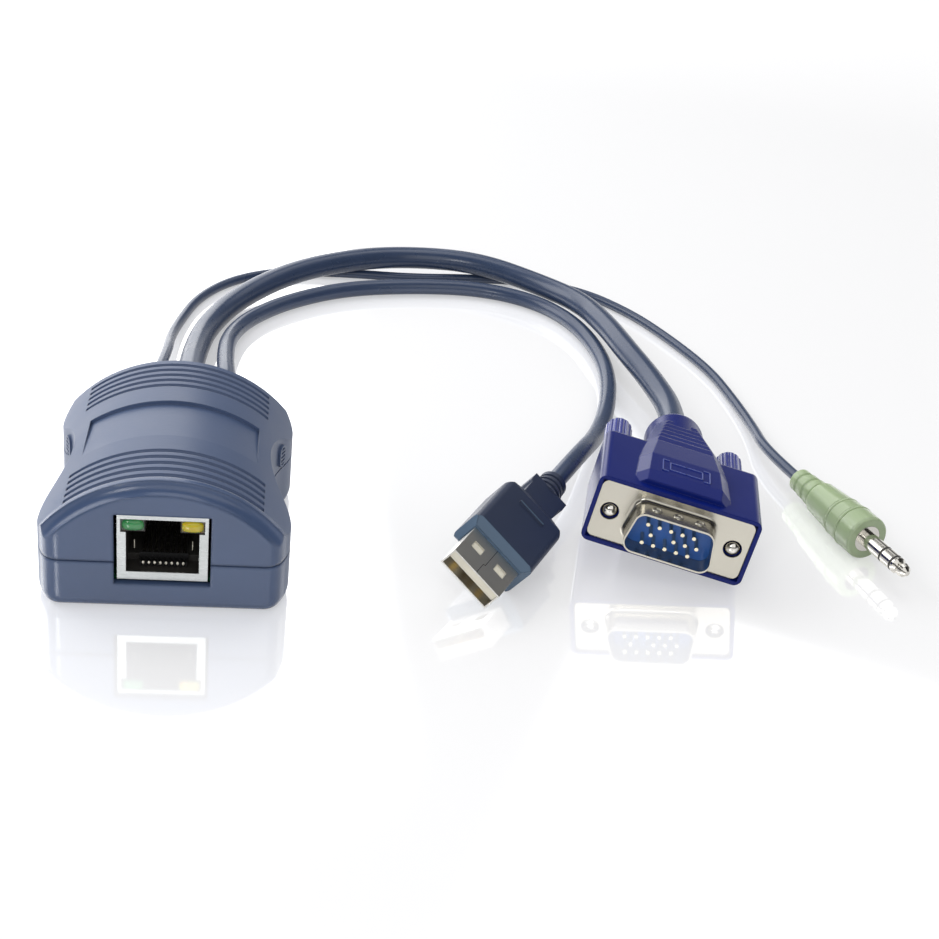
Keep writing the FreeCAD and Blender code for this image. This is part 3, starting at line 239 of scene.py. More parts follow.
# --- poses -----------------------------------------------------------------------------------
@dataclass(frozen=True)
class Pose:
    """Where a plug lies: its mating face's middle, and its turn about Z, Y and X in degrees."""

    at: Point
    yaw: float
    pitch: float
    roll: float

    def matrix(self) -> Matrix:
        """The plug's frame, +Y toward its cable, as a 4x4 matrix in metres."""
        turn = (Matrix.Rotation(math.radians(self.yaw), 4, "Z")
                @ Matrix.Rotation(math.radians(self.pitch), 4, "Y")
                @ Matrix.Rotation(math.radians(self.roll), 4, "X"))
        return Matrix.Translation(metres(self.at)) @ turn

    def point(self, local: Sequence[float]) -> Point:
        """A point of the plug's own frame, both in millimetres."""
        return tuple(self.matrix() @ metres(local) / MM)


VIDEO_POSE = Pose((96.17, -9.45, 11.74), -13.7, 9.2, -5.2)
DATA_POSE = Pose((56.0, -22.7, 7.38), -29.0, 35.8, 2.1)
SOUND_POSE = Pose((140.96, 1.4, 4.9), 16.7, 0.0, -1.8)


# --- finishes --------------------------------------------------------------------------------
@dataclass(frozen=True)
class MouldedPlastic:
    """An injection-moulded plastic with spark-eroded grain.

    The grain is finer than the render shows, so grain_mm is drawn coarser than the real 0.1 mm.
    """

    name: str
    colour: str
    roughness: float = 0.42
    ior: float = 1.54
    uneven_gloss: float = 0.1
    grain_mm: float = 0.45
    grain_height_mm: float = 0.012
    grain_strength: float = 0.35
    mottle: float = 0.05
    mottle_mm: float = 14.0
    soft_edge_mm: float = 0.25
    specular: float = 0.4
    brow_edge_mm: float = 0.0
    brow_y: float = 0.0
    brow_polish: float = 1.0
    brow_grain_strength: float = 0.05
    brow_blend_mm: float = 1.0
    translucency: float = 0.0
    glow_mm: float = 2.0
    grain_stretch: float = 1.0

    def past_brow(self, tree: bpy.types.NodeTree, place: bpy.types.Node, front: float,
                  behind: float) -> bpy.types.NodeSocket:
        """A value that changes at the brow, since the mould is polished in front and etched behind.

        Args:
            tree: the material's node tree.
            place: its Texture Coordinate node.
            front: the value in front of brow_y.
            behind: the value behind it.

        Returns:
            The value's socket.
        """
        depth = add_node(tree, "ShaderNodeSeparateXYZ", links={0: place.outputs["Object"]})
        change = add_node(tree, "ShaderNodeMapRange", {
            "From Min": (self.brow_y - self.brow_blend_mm / 2) * MM,
            "From Max": (self.brow_y + self.brow_blend_mm / 2) * MM,
            "To Min": front, "To Max": behind}, {"Value": depth.outputs["Y"]})
        return change.outputs["Result"]

    def make(self) -> bpy.types.Material:
        """Builds the material: mottled colour, uneven gloss, and grain over rounded edges."""
        material, tree, shader = blank(self.name)
        place = add_node(tree, "ShaderNodeTexCoord")
        mottle = add_node(tree, "ShaderNodeTexNoise",
                          {"Scale": per_metre(self.mottle_mm), "Detail": 3.0, "Roughness": 0.55},
                          {"Vector": place.outputs["Object"]})
        colour = add_node(tree, "ShaderNodeHueSaturation", {"Color": linear(self.colour)},
                          {"Value": spread(tree, mottle.outputs["Fac"], 1 - self.mottle, 1 + self.mottle)})
        along = add_node(tree, "ShaderNodeMapping", {"Scale": (1 / self.grain_stretch, 1.0, 1.0)},
                         {"Vector": place.outputs["Object"]})
        grain = add_node(tree, "ShaderNodeTexNoise",
                         {"Scale": per_metre(self.grain_mm), "Detail": 2.0, "Roughness": 0.6},
                         {"Vector": along.outputs["Vector"]})
        edge = add_node(tree, "ShaderNodeBevel", {"Radius": self.soft_edge_mm * MM, "samples": 6})
        bump = add_node(tree, "ShaderNodeBump",
                        {"Strength": self.grain_strength, "Distance": self.grain_height_mm * MM},
                        {"Height": grain.outputs["Fac"], "Normal": edge.outputs["Normal"]})
        rough = spread(tree, mottle.outputs["Fac"], self.roughness * (1 - self.uneven_gloss),
                       self.roughness * (1 + self.uneven_gloss))
        if self.brow_edge_mm:
            tree.links.new(self.past_brow(tree, place, self.brow_edge_mm * MM, self.soft_edge_mm * MM),
                           edge.inputs["Radius"])
            tree.links.new(self.past_brow(tree, place, self.brow_grain_strength, self.grain_strength),
                           bump.inputs["Strength"])
            polish = add_node(tree, "ShaderNodeMath", {"operation": "MULTIPLY"}, {
                0: rough, 1: self.past_brow(tree, place, self.brow_polish, 1.0)})
            rough = polish.outputs["Value"]
        tree.links.new(colour.outputs["Color"], shader.inputs["Base Color"])
        tree.links.new(rough, shader.inputs["Roughness"])
        tree.links.new(bump.outputs["Normal"], shader.inputs["Normal"])
        shader.inputs["IOR"].default_value = self.ior
        shader.inputs["Specular IOR Level"].default_value = self.specular
        shader.inputs["Subsurface Weight"].default_value = self.translucency
        shader.inputs["Subsurface Scale"].default_value = self.glow_mm * MM
        shader.inputs["Subsurface Radius"].default_value = (1.0, 1.0, 0.8)
        return material


class Lay(Enum):
    """The way that a metal's fine scratches run."""

    NONE = (1.0, 1.0, 1.0)
    ALONG_X = (0.04, 1.0, 1.0)


@dataclass(frozen=True)
class PlatedMetal:
    """A thin bright plating over stamped or turned metal, faintly streaked by the tool."""

    name: str
    colour: str
    roughness: float = 0.24
    lay: Lay = Lay.NONE
    streak_mm: float = 0.35
    streak_height_mm: float = 0.004
    streak_strength: float = 0.3
    stain: float = 0.12
    stain_mm: float = 5.0
    uneven_gloss: float = 0.2
    soft_edge_mm: float = 0.12

    def make(self) -> bpy.types.Material:
        """Builds the material: a metal with cloudy stain and streaks in its gloss."""
        material, tree, shader = blank(self.name)
        place = add_node(tree, "ShaderNodeTexCoord")
        along = add_node(tree, "ShaderNodeMapping", {"Scale": self.lay.value},
                         {"Vector": place.outputs["Object"]})
        streaks = add_node(tree, "ShaderNodeTexNoise",
                           {"Scale": per_metre(self.streak_mm), "Detail": 3.0, "Roughness": 0.6},
                           {"Vector": along.outputs["Vector"]})
        cloud = add_node(tree, "ShaderNodeTexNoise",
                         {"Scale": per_metre(self.stain_mm), "Detail": 4.0, "Roughness": 0.6},
                         {"Vector": place.outputs["Object"]})
        colour = add_node(tree, "ShaderNodeHueSaturation", {"Color": linear(self.colour)},
                          {"Value": spread(tree, cloud.outputs["Fac"], 1 - self.stain, 1.0)})
        edge = add_node(tree, "ShaderNodeBevel", {"Radius": self.soft_edge_mm * MM, "samples": 6})
        bump = add_node(tree, "ShaderNodeBump",
                        {"Strength": self.streak_strength, "Distance": self.streak_height_mm * MM},
                        {"Height": streaks.outputs["Fac"], "Normal": edge.outputs["Normal"]})
        rough = spread(tree, streaks.outputs["Fac"], self.roughness * (1 - self.uneven_gloss),
                       self.roughness * (1 + self.uneven_gloss))
        tree.links.new(colour.outputs["Color"], shader.inputs["Base Color"])
        tree.links.new(rough, shader.inputs["Roughness"])
        tree.links.new(bump.outputs["Normal"], shader.inputs["Normal"])
        shader.inputs["Metallic"].default_value = 1.0
        return material


@dataclass(frozen=True)
class TintedLens:
    """Cast epoxy with a dye, as a lamp's lens: it glows a little from within."""

    name: str
    colour: str
    roughness: float = 0.16
    ior: float = 1.56
    translucency: float = 0.6
    depth_mm: float = 0.8
    cloud_mm: float = 1.6
    palest: float = 1.08
    darkest: float = 0.88

    def make(self) -> bpy.types.Material:
        """Builds the material: dyed and glossy, with light carried under the surface."""
        material, tree, shader = blank(self.name)
        place = add_node(tree, "ShaderNodeTexCoord")
        cloud = add_node(tree, "ShaderNodeTexNoise", {"Scale": per_metre(self.cloud_mm), "Detail": 2.0},
                         {"Vector": place.outputs["Object"]})
        colour = add_node(tree, "ShaderNodeHueSaturation", {"Color": linear(self.colour)},
                          {"Value": spread(tree, cloud.outputs["Fac"], self.darkest, self.palest)})
        tree.links.new(colour.outputs["Color"], shader.inputs["Base Color"])
        shader.inputs["Roughness"].default_value = self.roughness
        shader.inputs["IOR"].default_value = self.ior
        shader.inputs["Subsurface Weight"].default_value = self.translucency
        shader.inputs["Subsurface Scale"].default_value = self.depth_mm * MM
        return material


def blank(name: str) -> tuple[bpy.types.Material, bpy.types.NodeTree, bpy.types.Node]:
    """Starts a material.

    Args:
        name: the finish's plain name.

    Returns:
        The material, its node tree, and its one shader, already linked to the output.
    """
    material = bpy.data.materials.new(name)
    material.use_nodes = True
    tree = material.node_tree
    tree.nodes.clear()
    shader = add_node(tree, "ShaderNodeBsdfPrincipled")
    add_node(tree, "ShaderNodeOutputMaterial", links={"Surface": shader.outputs["BSDF"]})
    return material, tree, shader


def spread(tree: bpy.types.NodeTree, source: bpy.types.NodeSocket, low: float,
           high: float) -> bpy.types.NodeSocket:
    """Maps a noise's middle range to a span of values.

    Args:
        tree: the material's node tree.
        source: a value between about 0.3 and 0.7.
        low: what 0.3 becomes.
        high: what 0.7 becomes.

    Returns:
        The mapped value's socket.
    """
    node = add_node(tree, "ShaderNodeMapRange",
                    {"From Min": 0.3, "From Max": 0.7, "To Min": low, "To Max": high}, {"Value": source})
    return node.outputs["Result"]


class Finishes:
    """Every finish on the adapter, each built once and asked for by name."""

    # Textured ABS scatters the lamps, and the mould is smoother in front of the roof's brow.
    CASE = MouldedPlastic("textured_abs_slate_blue", "#455677", roughness=0.42, specular=0.5,
                          brow_edge_mm=0.9, brow_y=-22.5, brow_polish=0.5, grain_height_mm=0.035,
                          grain_stretch=3.0, soft_edge_mm=0.3)
    # Soft PVC jacket: smoother than the case, with a long bright line along its top.
    JACKET = MouldedPlastic("extruded_pvc_jacket_blue_grey", "#33425e", roughness=0.28, specular=0.6,
                            grain_mm=0.7, grain_height_mm=0.01, mottle_mm=9.0, soft_edge_mm=0.05)
    GLAND = MouldedPlastic("moulded_pvc_gland_dark_blue_grey", "#34425c", roughness=0.45)
    # Smooth PVC over-moulding in deep ultramarine, with a low shine.
    HOOD = MouldedPlastic("moulded_pvc_hood_ultramarine", "#081b69", roughness=0.24, specular=0.16,
                          grain_mm=0.5, grain_height_mm=0.003, soft_edge_mm=0.35)
    # The knobs are hard and polished, so each flute's edge carries a bright line.
    KNOB = MouldedPlastic("moulded_abs_knob_ultramarine", "#25328a", roughness=0.16, specular=1.0,
                          grain_height_mm=0.004, soft_edge_mm=0.2)
    # The raised device is painted paler than the hood round it, a painted highlight for the light that its
    # raised lines catch.
    EMBLEM_PAINTED_HIGHLIGHT = MouldedPlastic("pvc_ultramarine_painted_highlight", "#46539c", roughness=0.3, soft_edge_mm=0.1)
    # Glass-filled PBT has a waxy, even blue.
    PBT = MouldedPlastic("moulded_pbt_cobalt_blue", "#2a62b6", roughness=0.32, grain_mm=0.3,
                         grain_height_mm=0.006, mottle=0.04, mottle_mm=4.0, soft_edge_mm=0.15)
    DATA_MOULD = MouldedPlastic("moulded_pvc_navy_grey", "#2f384f", roughness=0.4, specular=0.3,
                                grain_mm=0.5, grain_height_mm=0.015, soft_edge_mm=0.3)
    # The nose's front face and bevel and the finger ridge's crest are painted paler than the moulding, as
    # a painted highlight where they face the light.
    DATA_PAINTED_HIGHLIGHT = MouldedPlastic("pvc_blue_grey_painted_highlight", "#4c6279", roughness=0.45, soft_edge_mm=0.2)
    # PVC with little dye lets light in, so its shadows stay green and pale.
    SOUND_MOULD = MouldedPlastic("translucent_pvc_pale_green", "#a0b28d", roughness=0.2, specular=0.5,
                                 grain_mm=0.6, grain_height_mm=0.01, mottle=0.04, soft_edge_mm=0.2,
                                 translucency=0.5, glow_mm=2.5)
    NYLON_BLACK = MouldedPlastic("moulded_nylon_black", "#2d2b29", roughness=0.5, grain_mm=0.3,
                                 grain_height_mm=0.006, mottle=0.1, mottle_mm=3.0, soft_edge_mm=0.1)
    NYLON_WHITE = MouldedPlastic("moulded_nylon_natural", "#e2ddcc", roughness=0.45, mottle_mm=4.0,
                                 translucency=0.2, glow_mm=1.0)
    EPOXY_BLACK = MouldedPlastic("moulded_epoxy_black", "#161617", roughness=0.6, specular=0.2,
                                 grain_mm=0.3, mottle_mm=3.0, soft_edge_mm=0.1)
    SOLDER_MASK = MouldedPlastic("cured_solder_mask_green", "#175a37", roughness=0.3, grain_mm=0.6,
                                 mottle=0.12, mottle_mm=5.0, soft_edge_mm=0.05)
    # Tin plating is bright and faintly cloudy, streaked along the strip that it was stamped from.
    TIN = PlatedMetal("tin_plated_steel", "#bcbfbf", roughness=0.3, lay=Lay.ALONG_X,
                      streak_height_mm=0.002)
    # Bright nickel over a smooth stamping has no relief of its own.
    NICKEL = PlatedMetal("nickel_plated_steel", "#b9b5aa", roughness=0.25, stain=0.03,
                         streak_height_mm=0.0, uneven_gloss=0.02)
    NICKEL_BRUSHED = PlatedMetal("nickel_plated_steel_brushed", "#dbd9d3", roughness=0.34, stain=0.04,
                                 streak_height_mm=0.0, uneven_gloss=0.04)
    NICKEL_TURNED = PlatedMetal("nickel_plated_brass_turned", "#dad7d0", roughness=0.16, stain=0.08)
    GOLD = PlatedMetal("gold_flash_on_phosphor_bronze", "#dcb968", roughness=0.2, stain=0.08,
                       stain_mm=2.0)
    CONTACT = PlatedMetal("palladium_nickel_contact_spring", "#8f8b80", roughness=0.3, stain=0.06,
                          stain_mm=1.5)
    # The contact tips are a near-white copy of the springs' plating, a painted highlight on their bends.
    CONTACT_TIP_PAINTED_HIGHLIGHT = PlatedMetal("palladium_nickel_contact_tip_painted_highlight", "#f4efe2", roughness=0.5, stain=0.03,
                              streak_height_mm=0.0)
    PIN = PlatedMetal("gold_flash_on_brass_pin", "#d5cdb4", roughness=0.18, stain=0.06, stain_mm=1.5)
    ZINC = PlatedMetal("zinc_plated_steel", "#bcbdbf", roughness=0.3, stain=0.15)
    # The lamp fronts take the paler lens colours, and the lens blocks behind them take the deep copies,
    # which are painted shade at the lenses' corners.
    LENS_GREEN = TintedLens("cast_epoxy_lens_green", "#3f8f55", roughness=0.1)
    LENS_GREEN_PAINTED_SHADE = TintedLens("cast_epoxy_lens_green_painted_shade", "#23452f")
    LENS_YELLOW = TintedLens("cast_epoxy_lens_yellow", "#c6b62a", roughness=0.1)
    LENS_YELLOW_PAINTED_SHADE = TintedLens("cast_epoxy_lens_yellow_painted_shade", "#5c5212")

    def __init__(self) -> None:
        """Starts with no material built."""
        self._made: dict[str, bpy.types.Material] = {}

    def get(self, finish: MouldedPlastic | PlatedMetal | TintedLens) -> bpy.types.Material:
        """The finish's material, built the first time that it is asked for.

        Args:
            finish: one of this class's finishes.

        Returns:
            The Blender material.
        """
        if finish.name not in self._made:
            self._made[finish.name] = finish.make()
        return self._made[finish.name]

    def dress(self, nodes: Mapping[str, bpy.types.Object],
              coats: Mapping[str, MouldedPlastic | PlatedMetal | TintedLens]) -> None:
        """Gives CAD nodes their finishes.

        Args:
            nodes: the frame's nodes by name.
            coats: the finish that each named node gets.
        """
        for name, finish in coats.items():
            obj = nodes[name]
            for socket in obj.material_slots:
                socket.material = self.get(finish)
            LOG.info("%s: %s", name, finish.name)


# --- camera, floor and light -----------------------------------------------------------------
@dataclass(frozen=True)
class Viewpoint:
    """The camera: where it stands and how it is turned."""

    at: Point = (17.50, -268.68, 170.57)
    azimuth: float = 8.333
    elevation: float = 29.36
    roll: float = -6.718
    lens: float = 61.4
    sensor: float = 36.0

    def place(self) -> None:
        """Makes the camera and sets it as the scene's own."""
        az, el, roll = (math.radians(v) for v in (self.azimuth, self.elevation, self.roll))
        ahead = Vector((math.sin(az) * math.cos(el), math.cos(az) * math.cos(el), -math.sin(el)))
        level = Vector((math.cos(az), -math.sin(az), 0.0))
        down = ahead.cross(level)
        right = math.cos(roll) * level + math.sin(roll) * down
        low = -math.sin(roll) * level + math.cos(roll) * down
        turn = Matrix((right, -low, -ahead)).transposed().to_4x4()
        data = bpy.data.cameras.new("studio_camera")
        data.lens, data.sensor_width = self.lens, self.sensor
        data.clip_start, data.clip_end = 0.01, 10.0
        camera = bpy.data.objects.new("studio_camera", data)
        camera.matrix_world = Matrix.Translation(metres(self.at)) @ turn
        bpy.context.scene.collection.objects.link(camera)
        bpy.context.scene.camera = camera


@dataclass(frozen=True)
class SoftBox:
    """A square lamp that faces the object."""

    name: str
    at: Point
    size: float
    power: float
    aim: Point = (50.0, 40.0, 0.0)

    def place(self) -> None:
        """Hangs the lamp."""
        data = bpy.data.lights.new(self.name, "AREA")
        data.shape, data.size, data.energy = "SQUARE", self.size * MM, self.power
        lamp = bpy.data.objects.new(self.name, data)
        way = metres(self.aim) - metres(self.at)
        lamp.matrix_world = (Matrix.Translation(metres(self.at))
                             @ way.to_track_quat("-Z", "Y").to_matrix().to_4x4())
        bpy.context.scene.collection.objects.link(lamp)


@dataclass(frozen=True)
class Studio:
    """The table that the adapter lies on, its white surroundings and the lamps.

    horizon and front are spans of a direction's upward and backward part. The mirrored room fades
    to the ceiling's brightness over the first, and from the front's brightness over the second.
    """

    floor_size: float = 6000.0
    floor_drop: float = 0.02
    floor_colour: str = "#f2f2f4"
    floor_roughness: float = 0.5
    sheen_roughness: float = 0.06
    mirror_share: float = 0.5
    floor_lift: float = 0.43
    daylight: float = 0.45
    ceiling: float = 0.13
    horizon: Span = (0.05, 0.27)
    dark_front: float = 0.2
    front: Span = (-0.25, 0.2)
    lamps: tuple[SoftBox, ...] = (
        SoftBox("lamp_left", (-600.0, 260.0, 420.0), 560.0, 3.0),
        SoftBox("lamp_back_left", (-280.0, 860.0, 420.0), 800.0, 4.0),
        SoftBox("lamp_over", (60.0, 260.0, 800.0), 500.0, 1.2),
        # dim and close, only for the plugs' plating to mirror
        SoftBox("lamp_plugs", (300.0, 340.0, 460.0), 320.0, 0.25, (94.0, -9.0, 17.0)),
        SoftBox("lamp_front", (140.0, -560.0, 420.0), 560.0, 1.1),
        # smaller, for the bright line along the case's front brow
        SoftBox("lamp_brow", (-250.0, -560.0, 360.0), 130.0, 0.7, (0.0, 0.0, 20.0)),
    )

    def floor_material(self) -> bpy.types.Material:
        """A pale satin table top that runs to plain white where nothing shades it."""
        material, tree, shader = blank("satin_white_table_top")
        shader.inputs["Base Color"].default_value = linear(self.floor_colour)
        shader.inputs["Roughness"].default_value = self.floor_roughness
        sheen = add_node(tree, "ShaderNodeBsdfGlossy", {"Color": linear("#ffffff"),
                                                        "Roughness": self.sheen_roughness})
        table = add_node(tree, "ShaderNodeMixShader", {0: self.mirror_share}, {
            1: shader.outputs["BSDF"], 2: sheen.outputs["BSDF"]})
        lift = add_node(tree, "ShaderNodeEmission", {"Color": linear("#ffffff"),
                                                     "Strength": self.floor_lift})
        path = add_node(tree, "ShaderNodeLightPath")
        seen = self.seen(tree, path)
        lifted = add_node(tree, "ShaderNodeAddShader", links={
            0: table.outputs["Shader"], 1: lift.outputs["Emission"]})
        both = add_node(tree, "ShaderNodeMixShader", links={
            0: seen, 1: table.outputs["Shader"], 2: lifted.outputs["Shader"]})
        end = next(n for n in tree.nodes if n.bl_idname == "ShaderNodeOutputMaterial")
        tree.links.new(both.outputs["Shader"], end.inputs["Surface"])
        return material

    @staticmethod
    def seen(tree: bpy.types.NodeTree, path: bpy.types.Node) -> bpy.types.NodeSocket:
        """One where a camera, mirror or see-through ray looks, and nought for other light.

        Args:
            tree: the node tree.
            path: its Light Path node.

        Returns:
            The value's socket.
        """
        first = add_node(tree, "ShaderNodeMath", {"operation": "MAXIMUM"}, {
            0: path.outputs["Is Camera Ray"], 1: path.outputs["Is Glossy Ray"]})
        both = add_node(tree, "ShaderNodeMath", {"operation": "MAXIMUM"}, {
            0: first.outputs["Value"], 1: path.outputs["Is Transmission Ray"]})
        return both.outputs["Value"]

    def lay_floor(self) -> None:
        """Lays the table top a hair under the case, so that no two faces share a plane."""
        half = self.floor_size * MM / 2
        mesh = bpy.data.meshes.new("table_top")
        level = -self.floor_drop * MM
        mesh.from_pydata([(-half, -half, level), (half, -half, level), (half, half, level),
                          (-half, half, level)], [], [(0, 1, 2, 3)])
        mesh.materials.append(self.floor_material())
        floor = bpy.data.objects.new("table_top", mesh)
        bpy.context.scene.collection.objects.link(floor)

    def paint_room(self) -> None:
        """Makes the world: plain white to the camera, shaded in mirrors, and soft daylight else."""
        world = bpy.data.worlds.new("white_room")
        bpy.context.scene.world = world
        world.use_nodes = True
        tree = world.node_tree
        tree.nodes.clear()
        path = add_node(tree, "ShaderNodeLightPath")
        seen = self.seen(tree, path)
        soft = add_node(tree, "ShaderNodeBackground", {"Color": linear("#ffffff"),
                                                       "Strength": self.daylight})
        # what plating and gloss mirror: a white horizon behind, a dim ceiling and a dim room in front
        way = add_node(tree, "ShaderNodeTexCoord")
        height = add_node(tree, "ShaderNodeSeparateXYZ", links={0: way.outputs["Generated"]})
        rise = add_node(tree, "ShaderNodeMapRange", {
            "From Min": self.horizon[0], "From Max": self.horizon[1],
            "To Min": 1.0, "To Max": self.ceiling}, {"Value": height.outputs["Z"]})
        behind = add_node(tree, "ShaderNodeMapRange", {
            "From Min": self.front[0], "From Max": self.front[1],
            "To Min": self.dark_front, "To Max": 1.0}, {"Value": height.outputs["Y"]})
        mirrored = add_node(tree, "ShaderNodeMath", {"operation": "MULTIPLY"}, {
            0: rise.outputs["Result"], 1: behind.outputs["Result"]})
        white = add_node(tree, "ShaderNodeMath", {"operation": "MAXIMUM"}, {
            0: mirrored.outputs["Value"], 1: path.outputs["Is Camera Ray"]})
        plain = add_node(tree, "ShaderNodeBackground", {"Color": linear("#ffffff")},
                         {"Strength": white.outputs["Value"]})
        mix = add_node(tree, "ShaderNodeMixShader", links={
            0: seen, 1: soft.outputs["Background"], 2: plain.outputs["Background"]})
        add_node(tree, "ShaderNodeOutputWorld", links={"Surface": mix.outputs["Shader"]})

    def place(self) -> None:
        """Lays the floor, paints the room and hangs the lamps."""
        self.lay_floor()
        self.paint_room()
        for lamp in self.lamps:
            lamp.place()


# --- cables ----------------------------------------------------------------------------------
@dataclass(frozen=True)
class Cable:
    """A captive cable: its route's points in millimetres, its real length and its plug.

    plug_back is where the cable leaves the plug's body, behind the mating face, and straight is how
    far it runs on before it may bend.
    """

    name: str
    node: str
    route: tuple[Point, ...]
    plug: Pose
    plug_back: float
    straight: float
    length: float
    diameter: float
    stiffness: str
    plug_pieces: tuple[str, ...]

    def points(self) -> list[Point]:
        """The whole route, with its last two points straight behind the plug."""
        return [*self.route, self.plug.point((0, self.plug_back + self.straight, 0)),
                self.plug.point((0, self.plug_back, 0))]

    def lay(self, material: bpy.types.Material, extra: Sequence[bpy.types.Object]) -> None:
        """Args:
            material: the jacket's finish.
            extra: the plug's fine pieces; not used.
        """
        data = bpy.data.curves.new(self.name, "CURVE")
        data.dimensions = "3D"
        data.bevel_depth = self.diameter * MM / 2
        data.bevel_resolution = 8
        data.resolution_u = 14
        data.use_fill_caps = True
        points = self.points()
        spline = data.splines.new("NURBS")
        spline.points.add(len(points) - 1)
        for control, point in zip(spline.points, points):
            control.co = (*metres(point), 1.0)
        spline.order_u = 3
        spline.use_endpoint_u = True
        data.materials.append(material)
        obj = bpy.data.objects.new(self.name, data)
        bpy.context.scene.collection.objects.link(obj)
        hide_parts(self.node)
        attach(obj, MODULE)
        LOG.info("%s: %d route points, %.1f mm", self.name, len(points), self.length)


VIDEO_PLUG_NODES = ("vga_hood", "vga_faceplate", "vga_insert", "vga_pins", "left_thumb_knob",
                    "left_thumb_screw", "right_thumb_knob", "right_thumb_screw")
DATA_PLUG_NODES = ("usb_shell", "usb_tongue", "usb_contacts", "usb_overmold")
SOUND_PLUG_NODES = ("audio_overmold", "audio_sleeve", "audio_ring", "audio_insulators", "audio_tip")

VIDEO_CABLE = Cable(
    name="video_cable", node="vga_cable",
    route=((0, 17.8, 10.2), (0, 43, 10.2), (-0.2, 69, 5.6), (1.8, 91, 3.0), (9, 108.5, 3.4),
           (22.5, 122.5, 5.4), (40, 132.8, 5.9), (57, 137.8, 5.3), (73, 134.5, 5.9), (88, 124.5, 5.0),
           (97.5, 112.5, 5.7), (101.5, 96, 6.9), (104.2, 81, 7.0), (107.6, 67.5, 6.4)),
    plug=VIDEO_POSE, plug_back=47.5, straight=14.0, length=276.0, diameter=5.8, stiffness="medium",
    plug_pieces=VIDEO_PLUG_NODES)
DATA_CABLE = Cable(
    name="data_cable", node="usb_cable",
    route=((8.6, 17.8, 10.2), (8.6, 43, 10.2), (7, 68, 7), (7.6, 86, 3.2), (12, 99, 2.1),
           (21.5, 110.5, 2.1), (36, 120.5, 2.1), (54, 125, 2.1), (72, 126, 2.1), (86, 120, 2.1),
           (94.5, 109, 2.1), (98.8, 94, 2.1), (99.6, 78, 2.1), (96.5, 60, 2.1), (91, 43, 3.4)),
    plug=DATA_POSE, plug_back=39.8, straight=15.0, length=282.7, diameter=4.0, stiffness="medium",
    plug_pieces=DATA_PLUG_NODES)
SOUND_CABLE = Cable(
    name="sound_cable", node="audio_cable",
    route=((-7.6, 17.8, 10.2), (-7.6, 43, 10.2), (-6, 69, 6.6), (-6.4, 82, 3.4), (-5.2, 95, 1.6),
           (-1.5, 111.5, 1.25), (7, 124.5, 1.25), (20, 132, 1.25), (37, 133.2, 1.25), (54, 132.4, 1.25),
           (70, 134.6, 1.25), (86, 135.2, 1.25), (101, 130, 1.25), (112.5, 117, 1.25),
           (120.5, 101, 1.25), (126.8, 84.5, 1.25), (129.2, 69, 1.25), (130.3, 54, 1.8)),
    plug=SOUND_POSE, plug_back=26.0, straight=14.0, length=318.1, diameter=2.4, stiffness="limp",
    plug_pieces=SOUND_PLUG_NODES)


# --- sub-assemblies --------------------------------------------------------------------------
@dataclass
class Case:
    """The two covers, the glands and the board that they hold."""

    finishes: Finishes
    nodes: Mapping[str, bpy.types.Object]

    def build(self) -> None:
        """Dresses the case and what is shut inside it."""
        self.finishes.dress(self.nodes, {
            "upper_cover": Finishes.CASE, "lower_cover": Finishes.CASE,
            "audio_gland": Finishes.GLAND, "vga_gland": Finishes.GLAND, "usb_gland": Finishes.GLAND,
            "circuit_board": Finishes.SOLDER_MASK, "board_screws": Finishes.ZINC,
            "controller_chip": Finishes.EPOXY_BLACK, "video_driver_chips": Finishes.EPOXY_BLACK,
            "crystal": Finishes.TIN, "capacitors": Finishes.EPOXY_BLACK,
            "cable_headers": Finishes.NYLON_WHITE})


